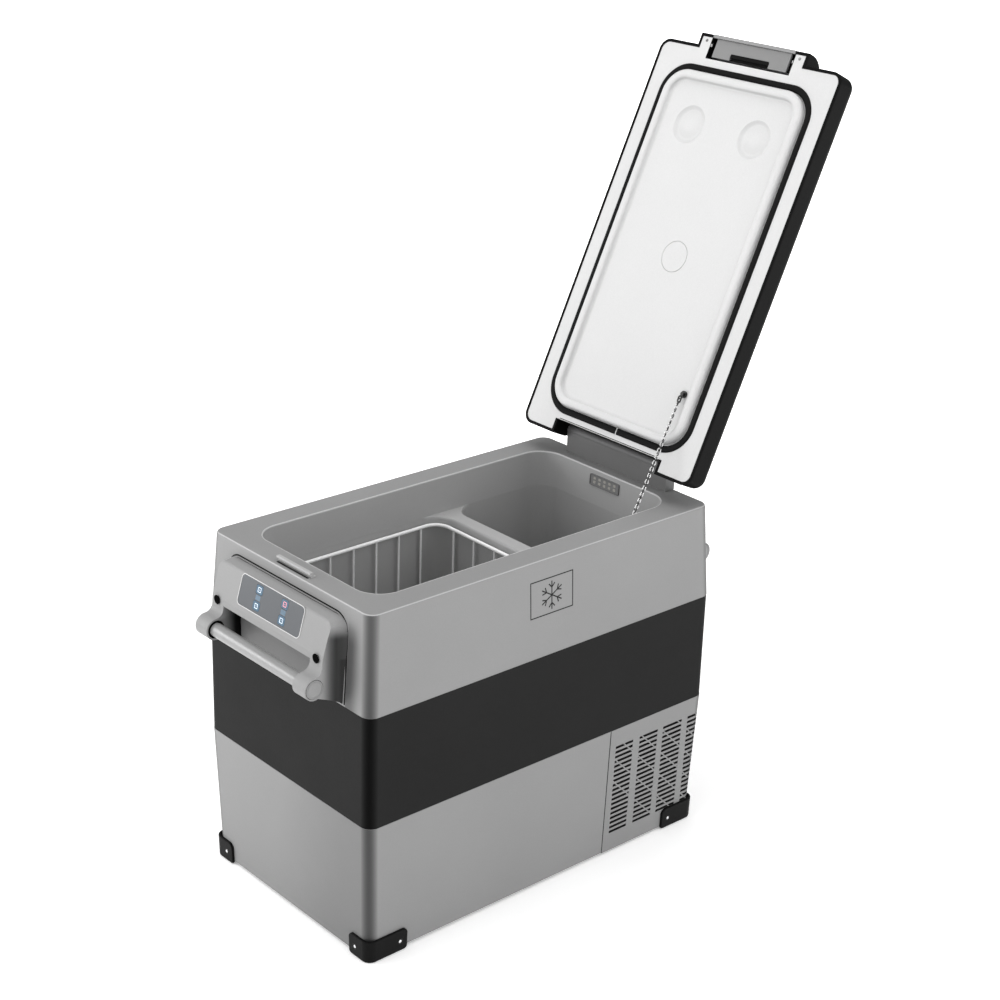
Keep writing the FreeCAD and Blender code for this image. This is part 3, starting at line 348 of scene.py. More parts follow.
def ramp(nodes, links, source, low, high, start=0.3, end=0.7):
    """Colour between low and high, for a value between start and end."""
    node = nodes.new("ShaderNodeValToRGB")
    for element, place, colour in zip(node.color_ramp.elements, (start, end), (low, high)):
        element.position = place
        element.color = (*colour, 1.0)
    links.new(source, node.inputs["Fac"])
    return node.outputs["Color"]


def multiply(nodes, links, first, second, factor=1.0):
    mix = nodes.new("ShaderNodeMix")
    mix.data_type = "RGBA"
    mix.blend_type = "MULTIPLY"
    mix.inputs["Factor"].default_value = factor
    links.new(first, mix.inputs["A"])
    links.new(second, mix.inputs["B"])
    return mix.outputs["Result"]


def relief(nodes, links, height, strength, distance, shader):
    """Fine bumps on a shader, from a height value."""
    bump = nodes.new("ShaderNodeBump")
    bump.inputs["Strength"].default_value = strength
    bump.inputs["Distance"].default_value = distance
    links.new(height, bump.inputs["Height"])
    links.new(bump.outputs["Normal"], shader.inputs["Normal"])


def mm(*lengths):
    return [length * MM for length in lengths]


def facing(nodes, links, axis):
    """How squarely a face is turned along an axis, either way: 0 to 1."""
    part = split(nodes, links, face_normal(nodes))[axis]
    return reckon(nodes, links, "Math", "MULTIPLY", part, part)


# Spans, fades and depths of the painted shade below.
CORNER_SPAN = 0.48
CROWN_FADE = (BRACKET_TOP - 26.0, BRACKET_TOP - 4.0)
BACK_FADE = (307.5, 313.0)
BACK_DARKEST = 0.6
RECESS_FADE = (RECESS_TOP + 1.0, RECESS_TOP + 4.0)
UNDER_SPAN = 0.8
INNER_SPAN = (0.04, 0.1)


def corner_shade(nodes, links, darkest):
    """Painted shade: tone that falls off round the upright outer corners of the body, where two walls meet.
    """
    outward = reckon(nodes, links, "VectorMath", "MULTIPLY", object_place(nodes), face_normal(nodes))
    parts = split(nodes, links, outward)
    shares = [remap(nodes, links, parts[axis], (0.0, half * MM), 0.0)
              for axis, half in (("X", BODY_X), ("Y", BODY_Y))]
    product = reckon(nodes, links, "Math", "MULTIPLY", *shares)
    return ramp(nodes, links, product, (1.0,) * 3, (darkest,) * 3, 0.0, CORNER_SPAN)


def side_shade(nodes, links, near, far, darkest):
    """Painted shade: tone that falls off on the faces turned along Y, towards the wall they stand on, and
    close to the wall below the recess top.
    """
    place = split(nodes, links, object_place(nodes))
    reach = reckon(nodes, links, "Math", "ABSOLUTE", place["X"])
    fall = remap(nodes, links, reach, mm(near, far), darkest, gentle=True)
    crown = remap(nodes, links, place["Z"], mm(*CROWN_FADE), fall, gentle=True)
    blend = remap(nodes, links, facing(nodes, links, "Y"), (0.0, 1.0), 1.0, crown)
    back = remap(nodes, links, reach, mm(*BACK_FADE), BACK_DARKEST, gentle=True)
    lower = remap(nodes, links, place["Z"], mm(*RECESS_FADE), back)
    return reckon(nodes, links, "Math", "MULTIPLY", blend, lower)


def end_shade(nodes, links, y_light, y_dark, darkest, z_fade=None, y_stop=0.0):
    """Painted shade: tone on the faces turned along X that falls off between two places across the width."""
    place = split(nodes, links, object_place(nodes))
    tone = remap(nodes, links, place["Y"], mm(y_light, y_dark), 1.0, darkest, gentle=True)
    if z_fade:
        tone = remap(nodes, links, place["Y"], mm(y_stop, y_stop + 1.0), tone)
        tone = remap(nodes, links, place["Z"], mm(*z_fade), tone, gentle=True)
    return remap(nodes, links, facing(nodes, links, "X"), (0.0, 1.0), 1.0, tone)


def under_shade(nodes, links, darkest):
    """Painted shade: tone that falls off on the slopes turned towards the hinge."""
    lean = reckon(nodes, links, "VectorMath", "DOT_PRODUCT", face_normal(nodes),
                  (math.cos(LID_OPEN), 0.0, -math.sin(LID_OPEN)))
    return remap(nodes, links, lean, (0.0, UNDER_SPAN), 1.0, darkest)


def inner_shade(nodes, links, darkest):
    """Painted shade: tone of faces that look into the body or across a slot, as against the outer skin."""
    flat = reckon(nodes, links, "VectorMath", "MULTIPLY", object_place(nodes), (1.0, 1.0, 0.0))
    outward = reckon(nodes, links, "VectorMath", "DOT_PRODUCT", flat, face_normal(nodes))
    return remap(nodes, links, outward, INNER_SPAN, darkest)


def plastic(name, colour, roughness, grain=900.0, depth=0.04, vary=0.05, specular=0.5,
            corner=None, side=None, end=None, under=None, inner=None):
    """Moulded plastic: slow tone drift, fine spark-eroded grain and uneven gloss; corner, side, end, under
    and inner multiply painted shade into the tone.
    """
    material, nodes, links, shader = new_material(name)
    low = [channel * (1 - vary) for channel in colour]
    high = [min(1.0, channel * (1 + vary)) for channel in colour]
    tone = ramp(nodes, links, noise(nodes, links, 5.0, 4.0), low, high)
    fleck = ramp(nodes, links, noise(nodes, links, grain * 0.6, 2.0), (0.93,) * 3, (1.0,) * 3)
    tone = multiply(nodes, links, tone, fleck, 0.6)
    for make_shade, values in ((corner_shade, corner), (side_shade, side), (end_shade, end),
                               (under_shade, under), (inner_shade, inner)):
        if values:
            tone = multiply(nodes, links, tone, make_shade(nodes, links, *values))
    links.new(tone, shader.inputs["Base Color"])
    gloss = remap(nodes, links, noise(nodes, links, 14.0, 5.0, 0.65), (0.0, 1.0),
                  roughness - 0.06, roughness + 0.06)
    links.new(gloss, shader.inputs["Roughness"])
    relief(nodes, links, noise(nodes, links, grain, 2.0), depth, 0.0004, shader)
    shader.inputs["Specular IOR Level"].default_value = specular
    return material


def metal(name, colour, roughness):
    """Metal with fine scratches and slightly uneven polish."""
    material, nodes, links, shader = new_material(name)
    shader.inputs["Metallic"].default_value = 1.0
    low = [channel * 0.88 for channel in colour]
    links.new(ramp(nodes, links, noise(nodes, links, 60.0, 4.0), low, colour), shader.inputs["Base Color"])
    scratch = noise(nodes, links, 700.0, 3.0)
    gloss = remap(nodes, links, scratch, (0.0, 1.0), roughness * 0.7, roughness * 1.3)
    links.new(gloss, shader.inputs["Roughness"])
    relief(nodes, links, scratch, 0.05, 0.0002, shader)
    return material


def grey(value):
    """Linear grey from an sRGB level out of 255."""
    level = value / 255.0
    linear = ((level + 0.055) / 1.055) ** 2.4 if level > 0.04 else level / 12.92
    return (linear, linear, linear)


BODY_FINISH = (0.5, 1100.0, 0.05, 0.03, 0.3)
# Painted shade on the shells: darker round the upright corners, on the upper shell's end beside the bracket
# on the -Y side, across the lower shell's end towards -Y, and inside the vent cover's slots.
BODY = plastic("body_plastic", grey(135), *BODY_FINISH, corner=(0.2,),
               end=(-160.0, -137.0, 0.36, (448.0, 488.0), -131.0))
LOWER_BODY = plastic("lower_body_plastic", grey(136), *BODY_FINISH, corner=(0.2,),
                     end=(60.0, -150.0, 0.73))
VENT_BODY = plastic("vent_body_plastic", grey(134), *BODY_FINISH, corner=(0.2,), inner=(0.12,))
TRIM = plastic("trim_plastic", grey(140), *BODY_FINISH)
# The bracket's sides darken towards the wall, and the recess towards its back, as painted shade.
BRACKET = plastic("bracket_plastic", grey(143), 0.45, 1100.0, 0.05, 0.03, 0.1, side=(314.0, 338.0, 0.0))
LINER = plastic("liner_plastic", grey(162), 0.36, 900.0, 0.03, 0.03, 0.4)
# The band darkens round the upright corners as painted shade.
BAND = plastic("band_plastic", grey(33), 0.5, 420.0, 0.35, 0.06, 0.05, corner=(0.05,))
GRIP = plastic("grip_plastic", grey(138), 0.3, 1000.0, 0.04, 0.03, 0.5)
LID_BLACK = plastic("lid_black_plastic", grey(14), 0.45, 500.0, 0.22, 0.06, 0.05)
# The lid liner's slopes turned towards the hinge darken as painted shade.
LID_WHITE = plastic("lid_white_plastic", grey(204), 0.38, 800.0, 0.02, 0.012, 0.3, under=(0.68,))
GASKET = plastic("gasket_rubber", grey(22), 0.6, 600.0, 0.12, 0.06, 0.06)
GUARD = plastic("guard_plastic", grey(12), 0.42, 600.0, 0.2, 0.06, 0.08)
LATCH = plastic("latch_plastic", grey(128), 0.42, 900.0, 0.05, 0.03, 0.35)
LIP = plastic("lip_plastic", grey(140), 0.4, 900.0, 0.05, 0.03, 0.35)
STRIKER = plastic("striker_plastic", grey(168), 0.38, 900.0, 0.04, 0.03, 0.35)
HINGE_GREY = plastic("hinge_plastic", grey(108), 0.5, 900.0, 0.06, 0.04, 0.3)
WINDOW = plastic("window_plastic", (0.095, 0.1, 0.108), 0.2, 1500.0, 0.01, 0.03, 0.2)
KEY = plastic("key_plastic", (0.06, 0.115, 0.17), 0.3, 1200.0, 0.02, 0.03, 0.2)
# Painted highlights for the rounded rim edges.
OUTER_EDGE_HIGHLIGHT = plastic("outer_edge_highlight", grey(172), 0.4, 900.0, 0.03, 0.03, 0.3)
MOUTH_EDGE_HIGHLIGHT = plastic("mouth_edge_highlight", grey(190), 0.4, 900.0, 0.03, 0.03, 0.3)
SCREW_GREY = plastic("screw_paint", grey(120), 0.4, 900.0, 0.03, 0.05)
PRINT = plastic("printed_white", grey(206), 0.4, 900.0, 0.02, 0.02)
SEAM = plastic("seam_shadow", grey(44), 0.6, 900.0, 0.03, 0.03, 0.05)
# Black that paints the shade behind the vent slots.
VENT_SHADE = plastic("vent_shade_black", grey(16), 0.9, 700.0, 0.3, 0.05, 0.05)
# Black that paints the shade inside the screw wells; also the dark rings at grips and caps.
SHADE_AND_JOINT_BLACK = plastic("shade_and_joint_black", grey(5), 0.9, 600.0, 0.1, 0.05, 0.02)
INK = plastic("printed_black", grey(30), 0.5, 900.0, 0.03, 0.05, 0.2)
BLACK = plastic("black_plastic", grey(14), 0.5, 600.0, 0.12, 0.06, 0.08)
RUBBER = plastic("mount_rubber", grey(30), 0.75, 500.0, 0.2, 0.08, 0.2)
BOARD = plastic("board_resin", (0.03, 0.14, 0.07), 0.4, 700.0, 0.1, 0.1)
FOAM = plastic("foam_cells", (0.75, 0.68, 0.45), 0.9, 350.0, 0.6, 0.08)
WIRE = plastic("wire_coating", grey(238), 0.28, 900.0, 0.02, 0.02)
# Coated sheet grey, darkened as painted shade seen through the vent slots.
COATED_SHEET_SHADED = plastic("coated_sheet_shaded", grey(70), 0.4, 500.0, 0.1, 0.05)
COMPRESSOR = plastic("compressor_paint", grey(30), 0.35, 400.0, 0.1, 0.05)
STEEL = metal("plain_steel", (0.56, 0.56, 0.57), 0.32)
BRIGHT = metal("bright_steel", (0.86, 0.86, 0.87), 0.14)
# Bright and dark chain steel: alternate links take them as painted glints and shade.
CHAIN_GLINT_STEEL = metal("chain_glint_steel", (0.8, 0.8, 0.8), 0.16)
CHAIN_DARK = metal("chain_dark", (0.07, 0.07, 0.07), 0.3)
COPPER = metal("copper_tube", (0.83, 0.45, 0.3), 0.3)
ALUMINIUM = metal("aluminium_sheet", (0.8, 0.81, 0.82), 0.35)


def lit_material(name, colour, strength):
    """Printed legend lit from behind, slightly uneven."""
    material, nodes, links, shader = new_material(name)
    low = [channel * 0.8 for channel in colour]
    tone = ramp(nodes, links, noise(nodes, links, 300.0, 2.0), low, colour)
    links.new(tone, shader.inputs["Emission Color"])
    links.new(tone, shader.inputs["Base Color"])
    shader.inputs["Emission Strength"].default_value = strength
    shader.inputs["Roughness"].default_value = 0.35
    return material


LEGEND_WHITE = lit_material("legend_white", (0.75, 0.85, 0.95), 0.45)
LEGEND_RED = lit_material("legend_red", (0.85, 0.3, 0.36), 0.5)
GLOW_BLUE = lit_material("glow_blue", (0.06, 0.12, 0.18), 0.06)
LAMP_LENS = plastic("lamp_lens", grey(122), 0.25, 900.0, 0.03, 0.05)
LAMP_LED = lit_material("lamp_led", (0.36, 0.35, 0.32), 0.05)


# ---------------------------------------------------------------- body shells

def shell_ring(z, inset=0.0, steps=12):
    depth = body_inset(z) + inset
    return ring_at(BODY_X - depth, BODY_Y - depth, BODY_CORNER - inset, z, steps)


def make_upper_shell():
    """Outer wall with a rolled lower edge, the flat rim and the rounded mouth."""
    top_round = 3.5
    mouth_round = 2.5
    lower_round = 0.5
    rings = [shell_ring(BAND_TOP, 5.0), shell_ring(BAND_TOP, lower_round)]
    for sine, cosine in quarter(4, 1):
        rings.append(shell_ring(BAND_TOP + lower_round * (1 - cosine),
                                lower_round * (1 - sine)))
    for sine, cosine in quarter(6):
        z = RIM_Z - top_round * (1 - sine)
        rings.append(shell_ring(z, top_round * (1 - cosine)))
    for sine, cosine in quarter(5):
        out = mouth_round * (1 - sine)
        z = RIM_Z - mouth_round * (1 - cosine)
        rings.append(ring_at(MOUTH_X + out, MOUTH_Y + out, MOUTH_CORNER + out, z, 12))
    rings.append(ring_at(MOUTH_X, MOUTH_Y, MOUTH_CORNER, RIM_Z - 8.0, 12))
    rings.append(ring_at(MOUTH_X + 2.0, MOUTH_Y + 2.0, MOUTH_CORNER + 2.0, RIM_Z - 8.0, 12))
    bm = lofted(rings)
    piece("upper_shell_skin", bm, "cabinet", BODY, ["upper_shell"])


def make_band():
    """Charcoal band, almost flush with the grey shells."""
    back = 0.35
    rings = []
    for z, inset in ((BAND_BOTTOM, 5.0), (BAND_BOTTOM, back + 0.3), (BAND_BOTTOM + 0.3, back),
                     (BAND_TOP - 0.3, back), (BAND_TOP, back + 0.3), (BAND_TOP, 5.0)):
        rings.append(ring_at(BODY_X - inset, BODY_Y - inset, BODY_CORNER - inset, z, 12))
    bm = lofted(rings)
    piece("middle_band_skin", bm, "cabinet", BAND, ["middle_band"], degrees=50)


def make_lower_shell():
    """Lower wall from the cover's seam round the control end and back."""
    seam_x = LOWER_HIGH.x

    def open_ring(z, inset):
        ring = shell_ring(z, inset)
        start = Vector((seam_x, max(p.y for p in ring), z))
        end = Vector((seam_x, -start.y, z))
        return [start] + [p for p in ring if p.x < 0] + [end]

    rings = [open_ring(BODY_BOTTOM, 4.0), open_ring(BODY_BOTTOM, 1.5), open_ring(BODY_BOTTOM + 1.5, 0.0)]
    upper_round = 0.5
    for sine, cosine in quarter(4):
        rings.append(open_ring(BAND_BOTTOM - upper_round * (1 - sine),
                               upper_round * (1 - cosine)))
    rings.append(open_ring(BAND_BOTTOM, 5.0))
    bm = lofted(rings, closed=False)
    piece("lower_shell_skin", bm, "cabinet", LOWER_BODY, ["lower_shell"])


GUARD_NODES = {"rear_left": (1, 1), "rear_right": (1, -1), "front_left": (-1, 1), "front_right": (-1, -1)}
GUARD_PROUD = 3.6
GUARD_TOP = 33.0
GUARD_END_ROUND = 8.0
GUARD_FOOT_ROUND = 5.0
GUARD_LOW_EDGE = 3.0
GUARD_TOP_EDGE = 1.4
GUARD_GAP = 0.12
GUARD_LEG_X = 237.5
GUARD_LEG_Y = 134.5


def guard_path():
    """Stations round the +X +Y corner: corner circle's share, direction, and distance to the nearer end."""
    stations = []
    near = (0.0, 0.2, 0.6, 1.3, 2.4, 3.8, 5.4, 7.0, 9.0)
    centre_x, centre_y = BODY_X - BODY_CORNER, BODY_Y - BODY_CORNER
    for distance in near:
        stations.append((GUARD_LEG_X + distance, centre_y, 0.0, 1.0, distance))
    for step in range(13):
        angle = math.pi / 2 * (1 - step / 12)
        stations.append((centre_x, centre_y, math.cos(angle), math.sin(angle), 60.0))
    for distance in reversed(near):
        stations.append((centre_x, GUARD_LEG_Y + distance, 1.0, 0.0, distance))
    return stations


def end_round(radius, distance):
    """How far a rounded end draws in, at a distance from that end."""
    return radius - math.sqrt(radius ** 2 - max(0.0, radius - distance) ** 2)


def make_guards():
    """Smooth straps with round ends, wrapped round the four lower corners."""
    for name, (side_x, side_y) in GUARD_NODES.items():
        rings = []
        for x, y, along_x, along_y, distance in guard_path():
            low = end_round(GUARD_FOOT_ROUND, distance)
            high = GUARD_TOP - end_round(GUARD_END_ROUND, distance)
            proud = GUARD_PROUD - end_round(GUARD_TOP_EDGE, distance)
            inner = -4.0 if low < 0.01 else GUARD_GAP
            section = [(inner, low), (proud - GUARD_LOW_EDGE, low)]
            section += around((proud - GUARD_LOW_EDGE, low + GUARD_LOW_EDGE), GUARD_LOW_EDGE,
                              (-68, -45, -22, 0))
            section += around((proud - GUARD_TOP_EDGE, high - GUARD_TOP_EDGE), GUARD_TOP_EDGE,
                              (0, 22, 45, 68, 90))
            section += [(GUARD_GAP, high), (GUARD_GAP, max(BODY_BOTTOM - 0.05, low + 0.4)),
                        (inner, max(BODY_BOTTOM - 0.1, low + 0.3))]
            ring = []
            for out, z in section:
                reach = BODY_CORNER - body_inset(max(z, BODY_BOTTOM)) + out
                ring.append(Vector((side_x * (x + along_x * reach), side_y * (y + along_y * reach), z)))
            rings.append(ring)
        bm = lofted(rings, cap_first=True, cap_last=True)
        piece("guard_skin_" + name, bm, "cabinet", GUARD, ["corner_guard_" + name], degrees=50)


GUARD_SCREW_Z = 16.0
GUARD_SCREW_X = 250.0
GUARD_SCREW_Y = 148.0


def guard_screw_axes():
    """Centre on the guard's face and outward direction of every guard screw."""
    axes = []
    proud = GUARD_PROUD - body_inset(GUARD_SCREW_Z)
    for side_x, side_y in GUARD_NODES.values():
        axes.append((Vector((side_x * GUARD_SCREW_X, side_y * (BODY_Y + proud), GUARD_SCREW_Z)),
                     Vector((0.0, side_y, 0.0))))
        axes.append((Vector((side_x * (BODY_X + proud), side_y * GUARD_SCREW_Y, GUARD_SCREW_Z)),
                     Vector((side_x, 0.0, 0.0))))
    return axes


def make_guard_screws():
    """Small bright heads, each in a black collar."""
    heads = bmesh.new()
    collars = bmesh.new()
    for centre, outward in guard_screw_axes():
        lathe_ring(heads, [(0.0, 0.75), (1.2, 0.65), (2.0, 0.35), (2.3, 0.05), (2.3, -0.5), (0.0, -0.5)],
                   centre, outward, 24)
        lathe_ring(collars, [(2.5, 0.05), (2.7, 0.3), (3.8, 0.3), (4.2, 0.02), (2.5, 0.02)],
                   centre, outward, 32)
    piece("guard_screw_heads", heads, "cabinet", BRIGHT, ["guard_screws"])
    piece("guard_screw_collars", collars, "cabinet", INK)


def make_cover_seam():
    """Dark joint between the lower shell and the vented cover, on both long sides."""
    bm = bmesh.new()
    seam_x = LOWER_HIGH.x + 0.2
    for side in (-1, 1):
        rows = []
        for z in (BODY_BOTTOM + 0.5, BAND_BOTTOM - 0.6):
            face = BODY_Y - body_inset(z)
            rows.append([Vector((seam_x + along, side * (face + out), z))
                         for along, out in ((-0.8, -1.0), (-0.8, 0.06), (0.8, 0.06), (0.8, -1.0))])
        loft(bm, rows, cap_first=True, cap_last=True)
    obj = mesh_object("cover_seam", bm)
    settle(obj, "cabinet", SEAM)


def make_vent_shade_sheets():
    """Thin black sheets a little behind the vent slots of both long sides: painted shade inside the vents."""
    bm = bmesh.new()
    for side in (-1, 1):
        rows = []
        for step in range(6):
            z = 26.0 + 32.0 * step
            face = side * (BODY_Y - body_inset(z) - 4.2)
            back = face - side * 0.4
            rows.append([Vector((x, y, z))
                         for x, y in ((128.0, face), (292.0, face), (292.0, back), (128.0, back))])
        loft(bm, rows, cap_first=True, cap_last=True)
    obj = mesh_object("vent_shade_sheets", bm)
    settle(obj, "cabinet", VENT_SHADE)


# ---------------------------------------------------------------- liner

LEDGE_Z = 447.0
WELL_Y = 128.0
WELL_CORNER = 28.0
DEEP_X = (-258.0, 58.0)
SHALLOW_X = (84.0, 258.0)
DEEP_FLOOR = 50.0
SHALLOW_FLOOR = 245.0


def well_rings(x_low, x_high, divider_side, floor_z):
    """Rings of one well: straight outer walls, a rounded edge only at the divider."""
    edge = 4.0
    floor_round = 12.0

    def ring(z, inset=0.0, divider_out=0.0):
        rise = (z - floor_z) / (LEDGE_Z - floor_z)
        low = x_low - (divider_out if divider_side < 0 else 0.0) + inset
        high = x_high + (divider_out if divider_side > 0 else 0.0) - inset
        corner = WELL_CORNER + (MOUTH_CORNER - edge - WELL_CORNER) * rise - inset
        return ring_at((high - low) / 2, WELL_Y - inset, corner, z, 12, ((low + high) / 2, 0.0))

    rings = []
    for sine, cosine in quarter(6):
        rings.append(ring(LEDGE_Z - 6.0 * (1 - cosine), 0.0, edge * (1 - sine)))
    rings.append(ring(LEDGE_Z - 16.0))
    for sine, cosine in quarter(6):
        rings.append(ring(floor_z + floor_round * (1 - sine), floor_round * (1 - cosine)))
    return rings


def make_liner():
    """Tub: upper wall, the flared divider between the wells, and the two wells."""
    bm = lofted([ring_at(MOUTH_X - 0.1, MOUTH_Y - 0.1, MOUTH_CORNER, RIM_Z - 1.8, 12),
                 ring_at(-DEEP_X[0], WELL_Y, MOUTH_CORNER - MOUTH_X - DEEP_X[0], LEDGE_Z, 12)])
    deep = well_rings(DEEP_X[0], DEEP_X[1], 1, DEEP_FLOOR)
    shallow = well_rings(SHALLOW_X[0], SHALLOW_X[1], -1, SHALLOW_FLOOR)
    for rings in (deep, shallow):
        loft(bm, rings, cap_last=True)
    deep_middle, shallow_middle = sum(DEEP_X) / 2, sum(SHALLOW_X) / 2
    edge = [point for point in deep[0] if point.x > deep_middle]
    edge.sort(key=lambda point: math.atan2(point.y, point.x - deep_middle))
    other = [point for point in shallow[0] if point.x < shallow_middle]
    other.sort(key=lambda point: math.atan2(point.y, shallow_middle - point.x), reverse=True)
    top = [bm.verts.new(point) for point in edge + other]
    fill_between(bm, [top])
    bmesh.ops.remove_doubles(bm, verts=bm.verts, dist=0.01)
    piece("inner_liner_skin", bm, "cabinet", LINER, ["inner_liner"], degrees=50)


def make_rim_edges():
    """Painted highlights along the rim's rounded edges, round the outside and round the mouth."""
    top_round = 3.5
    outer = []
    for degrees in (32, 40, 48, 56):
        angle = math.radians(degrees)
        outer.append(shell_ring(RIM_Z - top_round * (1 - math.sin(angle)) + 0.04,
                                top_round * (1 - math.cos(angle)) - 0.05))
    mouth = [ring_at(MOUTH_X + out, MOUTH_Y + out, MOUTH_CORNER + out, RIM_Z + up, 12)
             for out, up in ((1.6, -0.2), (1.3, 0.08), (0.8, -0.05), (0.35, -0.6), (0.1, -1.2), (0.05, -2.0))]
    for name, rings, material in (("rim_outer_highlight", outer, OUTER_EDGE_HIGHLIGHT), ("rim_mouth_highlight", mouth, MOUTH_EDGE_HIGHLIGHT)):
        bm = lofted(rings)
        piece(name, bm, "cabinet", material, degrees=60)
    # Black strip on the rim in front of the striker: the slot there, darkened as painted shadow.
    bm = bmesh.new()
    block(bm, (STRIKER_LOW.x - 2.6, -34.0, RIM_Z - 0.5), (STRIKER_LOW.x + 0.4, 33.0, RIM_Z + 0.14))
    settle(mesh_object("striker_shadow_slot", bm), "cabinet", BLACK)


# ---------------------------------------------------------------- handle brackets

GRIP_X = (GRIP_HIGH.x + GRIP_LOW.x) / 2
GRIP_Z = (GRIP_HIGH.z + GRIP_LOW.z) / 2
ARM_RADIUS = 15.0
ARM_INNER = 95.0
ARM_OUTER = 121.0
BRACKET_HALF_Y = BRACKET_HIGH.y
RECESS_BACK = -306.9
PANEL_TILT = math.radians(16.2)
PANEL_CENTRE = Vector((-325.7, 0.0, 459.5))
PANEL_FRAME = (Matrix.Translation(PANEL_CENTRE)
               @ Matrix.Rotation(PANEL_TILT - math.pi / 2, 4, "Y")
               @ Matrix.Rotation(-math.pi / 2, 4, "Z"))
WINDOW_HALF = (67.5, 20.5)
SCREW_Y = 108.5
SCREW_Z = 430.0
KEYS = ("button_up", "button_down", "button_power", "button_settings")


def bracket_half_width(x):
    """The bracket's sides draw in from the body towards the panel face."""
    near, face = -299.0, -326.0
    if x < face:
        return ARM_OUTER
    share = min(1.0, (x - face) / (near - face))
    return ARM_OUTER + (BRACKET_HALF_Y - ARM_OUTER) * share ** 1.4


def bracket_profile():
    """Side view, from the top at the body round the panel, the sweep and the grip end."""
    points = [(-296.0, BRACKET_TOP + 0.4), (-313.3, BRACKET_TOP - 0.6)]
    points += arc((-315.3, BRACKET_TOP - 5.6), 5.0, 84, 164, 6)
    points.append((-333.2, 433.0))
    sweep = 12.0
    points += arc((GRIP_X, GRIP_Z + ARM_RADIUS + sweep), sweep, -4, -90, 9)
    points += arc((GRIP_X, GRIP_Z), ARM_RADIUS, 96, 290, 22)
    points.append((-298.0, BAND_TOP + 0.9))
    return points


def prism_y(points, half_y):
    """Block with a side view along Y."""
    return lofted([[Vector((x, y, z)) for x, z in points] for y in (-half_y, half_y)],
                  cap_first=True, cap_last=True)


def cylinder_cutter(name, start, end, radius, steps=40):
    bm = bmesh.new()
    line = Vector(end) - Vector(start)
    lathe(bm, [(radius, 0.0), (radius, line.length)], start, line, steps)
    return mesh_object(name, bm)


def panel_slab(name, half_w, half_h, radius, low, high, centre=(0.0, 0.0)):
    """Round-cornered slab on the tilted panel: heights measured out of its face."""
    bm = lofted([ring_at(half_w, half_h, radius, z, 8, centre) for z in (low, high)],
                cap_first=True, cap_last=True)
    bmesh.ops.transform(bm, matrix=PANEL_FRAME, verts=bm.verts)
    return mesh_object(name, bm)


def bracket_blank():
    bm = prism_y(bracket_profile(), 1.0)
    for x in (-333.0, -326.0, -320.0, -313.0, -306.0, -300.0):
        bmesh.ops.bisect_plane(bm, geom=bm.verts[:] + bm.edges[:] + bm.faces[:],
                               plane_co=(x, 0, 0), plane_no=(1, 0, 0))
    for vertex in bm.verts:
        vertex.co.y *= bracket_half_width(vertex.co.x)
    bmesh.ops.recalc_face_normals(bm, faces=bm.faces)
    return bm


def make_bracket(name, node, mirrored):
    """Handle bracket with its hand recess, grip seats and screw wells."""
    obj = mesh_object(name, bracket_blank())
    cutters = bracket_corner_cutters()
    bm = bmesh.new()
    block(bm, (-400, -ARM_INNER, 300), (RECESS_BACK, ARM_INNER, RECESS_TOP))
    cutters.append(mesh_object("hand_space", bm))
    for side in (-1, 1):
        cutters.append(cylinder_cutter("cap_seat", (GRIP_X, side * 117.0, GRIP_Z),
                                       (GRIP_X, side * 130.0, GRIP_Z), 13.2))
        cutters.append(cylinder_cutter("bore", (GRIP_X, side * 80.0, GRIP_Z),
                                       (GRIP_X, side * 118.0, GRIP_Z), 6.1))
        cutters.append(cylinder_cutter("screw_well", (-360.0, side * SCREW_Y, SCREW_Z),
                                       (-318.0, side * SCREW_Y, SCREW_Z), 4.7, 28))
    if not mirrored:
        cutters.append(panel_slab("pocket", WINDOW_HALF[0] + 0.3, WINDOW_HALF[1] + 0.3, 6.3, -1.8, 8.0))
    carve(obj, cutters)
    bevel(obj, 1.6, 3, 34)
    baked(obj)
    if not mirrored:
        carve(obj, [key_well(node) for node in KEYS])
    if mirrored:
        obj.data.transform(Matrix.Scale(-1, 4, (1, 0, 0)))
        obj.data.flip_normals()
    smooth(obj, 40)
    settle(obj, "cabinet", BRACKET, [node])
    return obj


def key_well(node):
    """Clearance hole for a key behind the panel."""
    points = [PANEL_FRAME.inverted() @ (vertex.co / MM) for vertex in frame["nodes"][node].data.vertices]
    low = [min(point[axis] for point in points) for axis in range(3)]
    high = [max(point[axis] for point in points) for axis in range(3)]
    centre = ((low[0] + high[0]) / 2, (low[1] + high[1]) / 2)
    return panel_slab("key_well", (high[0] - low[0]) / 2 + 0.4, (high[1] - low[1]) / 2 + 0.4, 1.0,
                      low[2] - 2.5, 6.0, centre)


def bracket_corner_cutters():
    """Tools that round the two top corners of the bracket in its front view."""
    cutters = []
    radius = 17.0
    for side in (-1, 1):
        middle = side * (BRACKET_HALF_Y - radius - 4.0)
        outline = [(side * 145.0, BRACKET_TOP - radius), (side * 145.0, BRACKET_TOP + 5.0),
                   (middle, BRACKET_TOP + 5.0)]
        outline += [(middle + side * y, BRACKET_TOP - radius + z) for y, z in arc((0, 0), radius, 90, 0, 10)]
        bm = lofted([[Vector((x, y + side * shift, z)) for y, z in outline]
                     for x, shift in ((-340.0, -6.0), (-290.0, 4.5))], cap_first=True, cap_last=True)
        cutters.append(mesh_object("corner_tool", bm))
    return cutters


def end_wall_x(z):
    return -(BODY_X - body_inset(z))


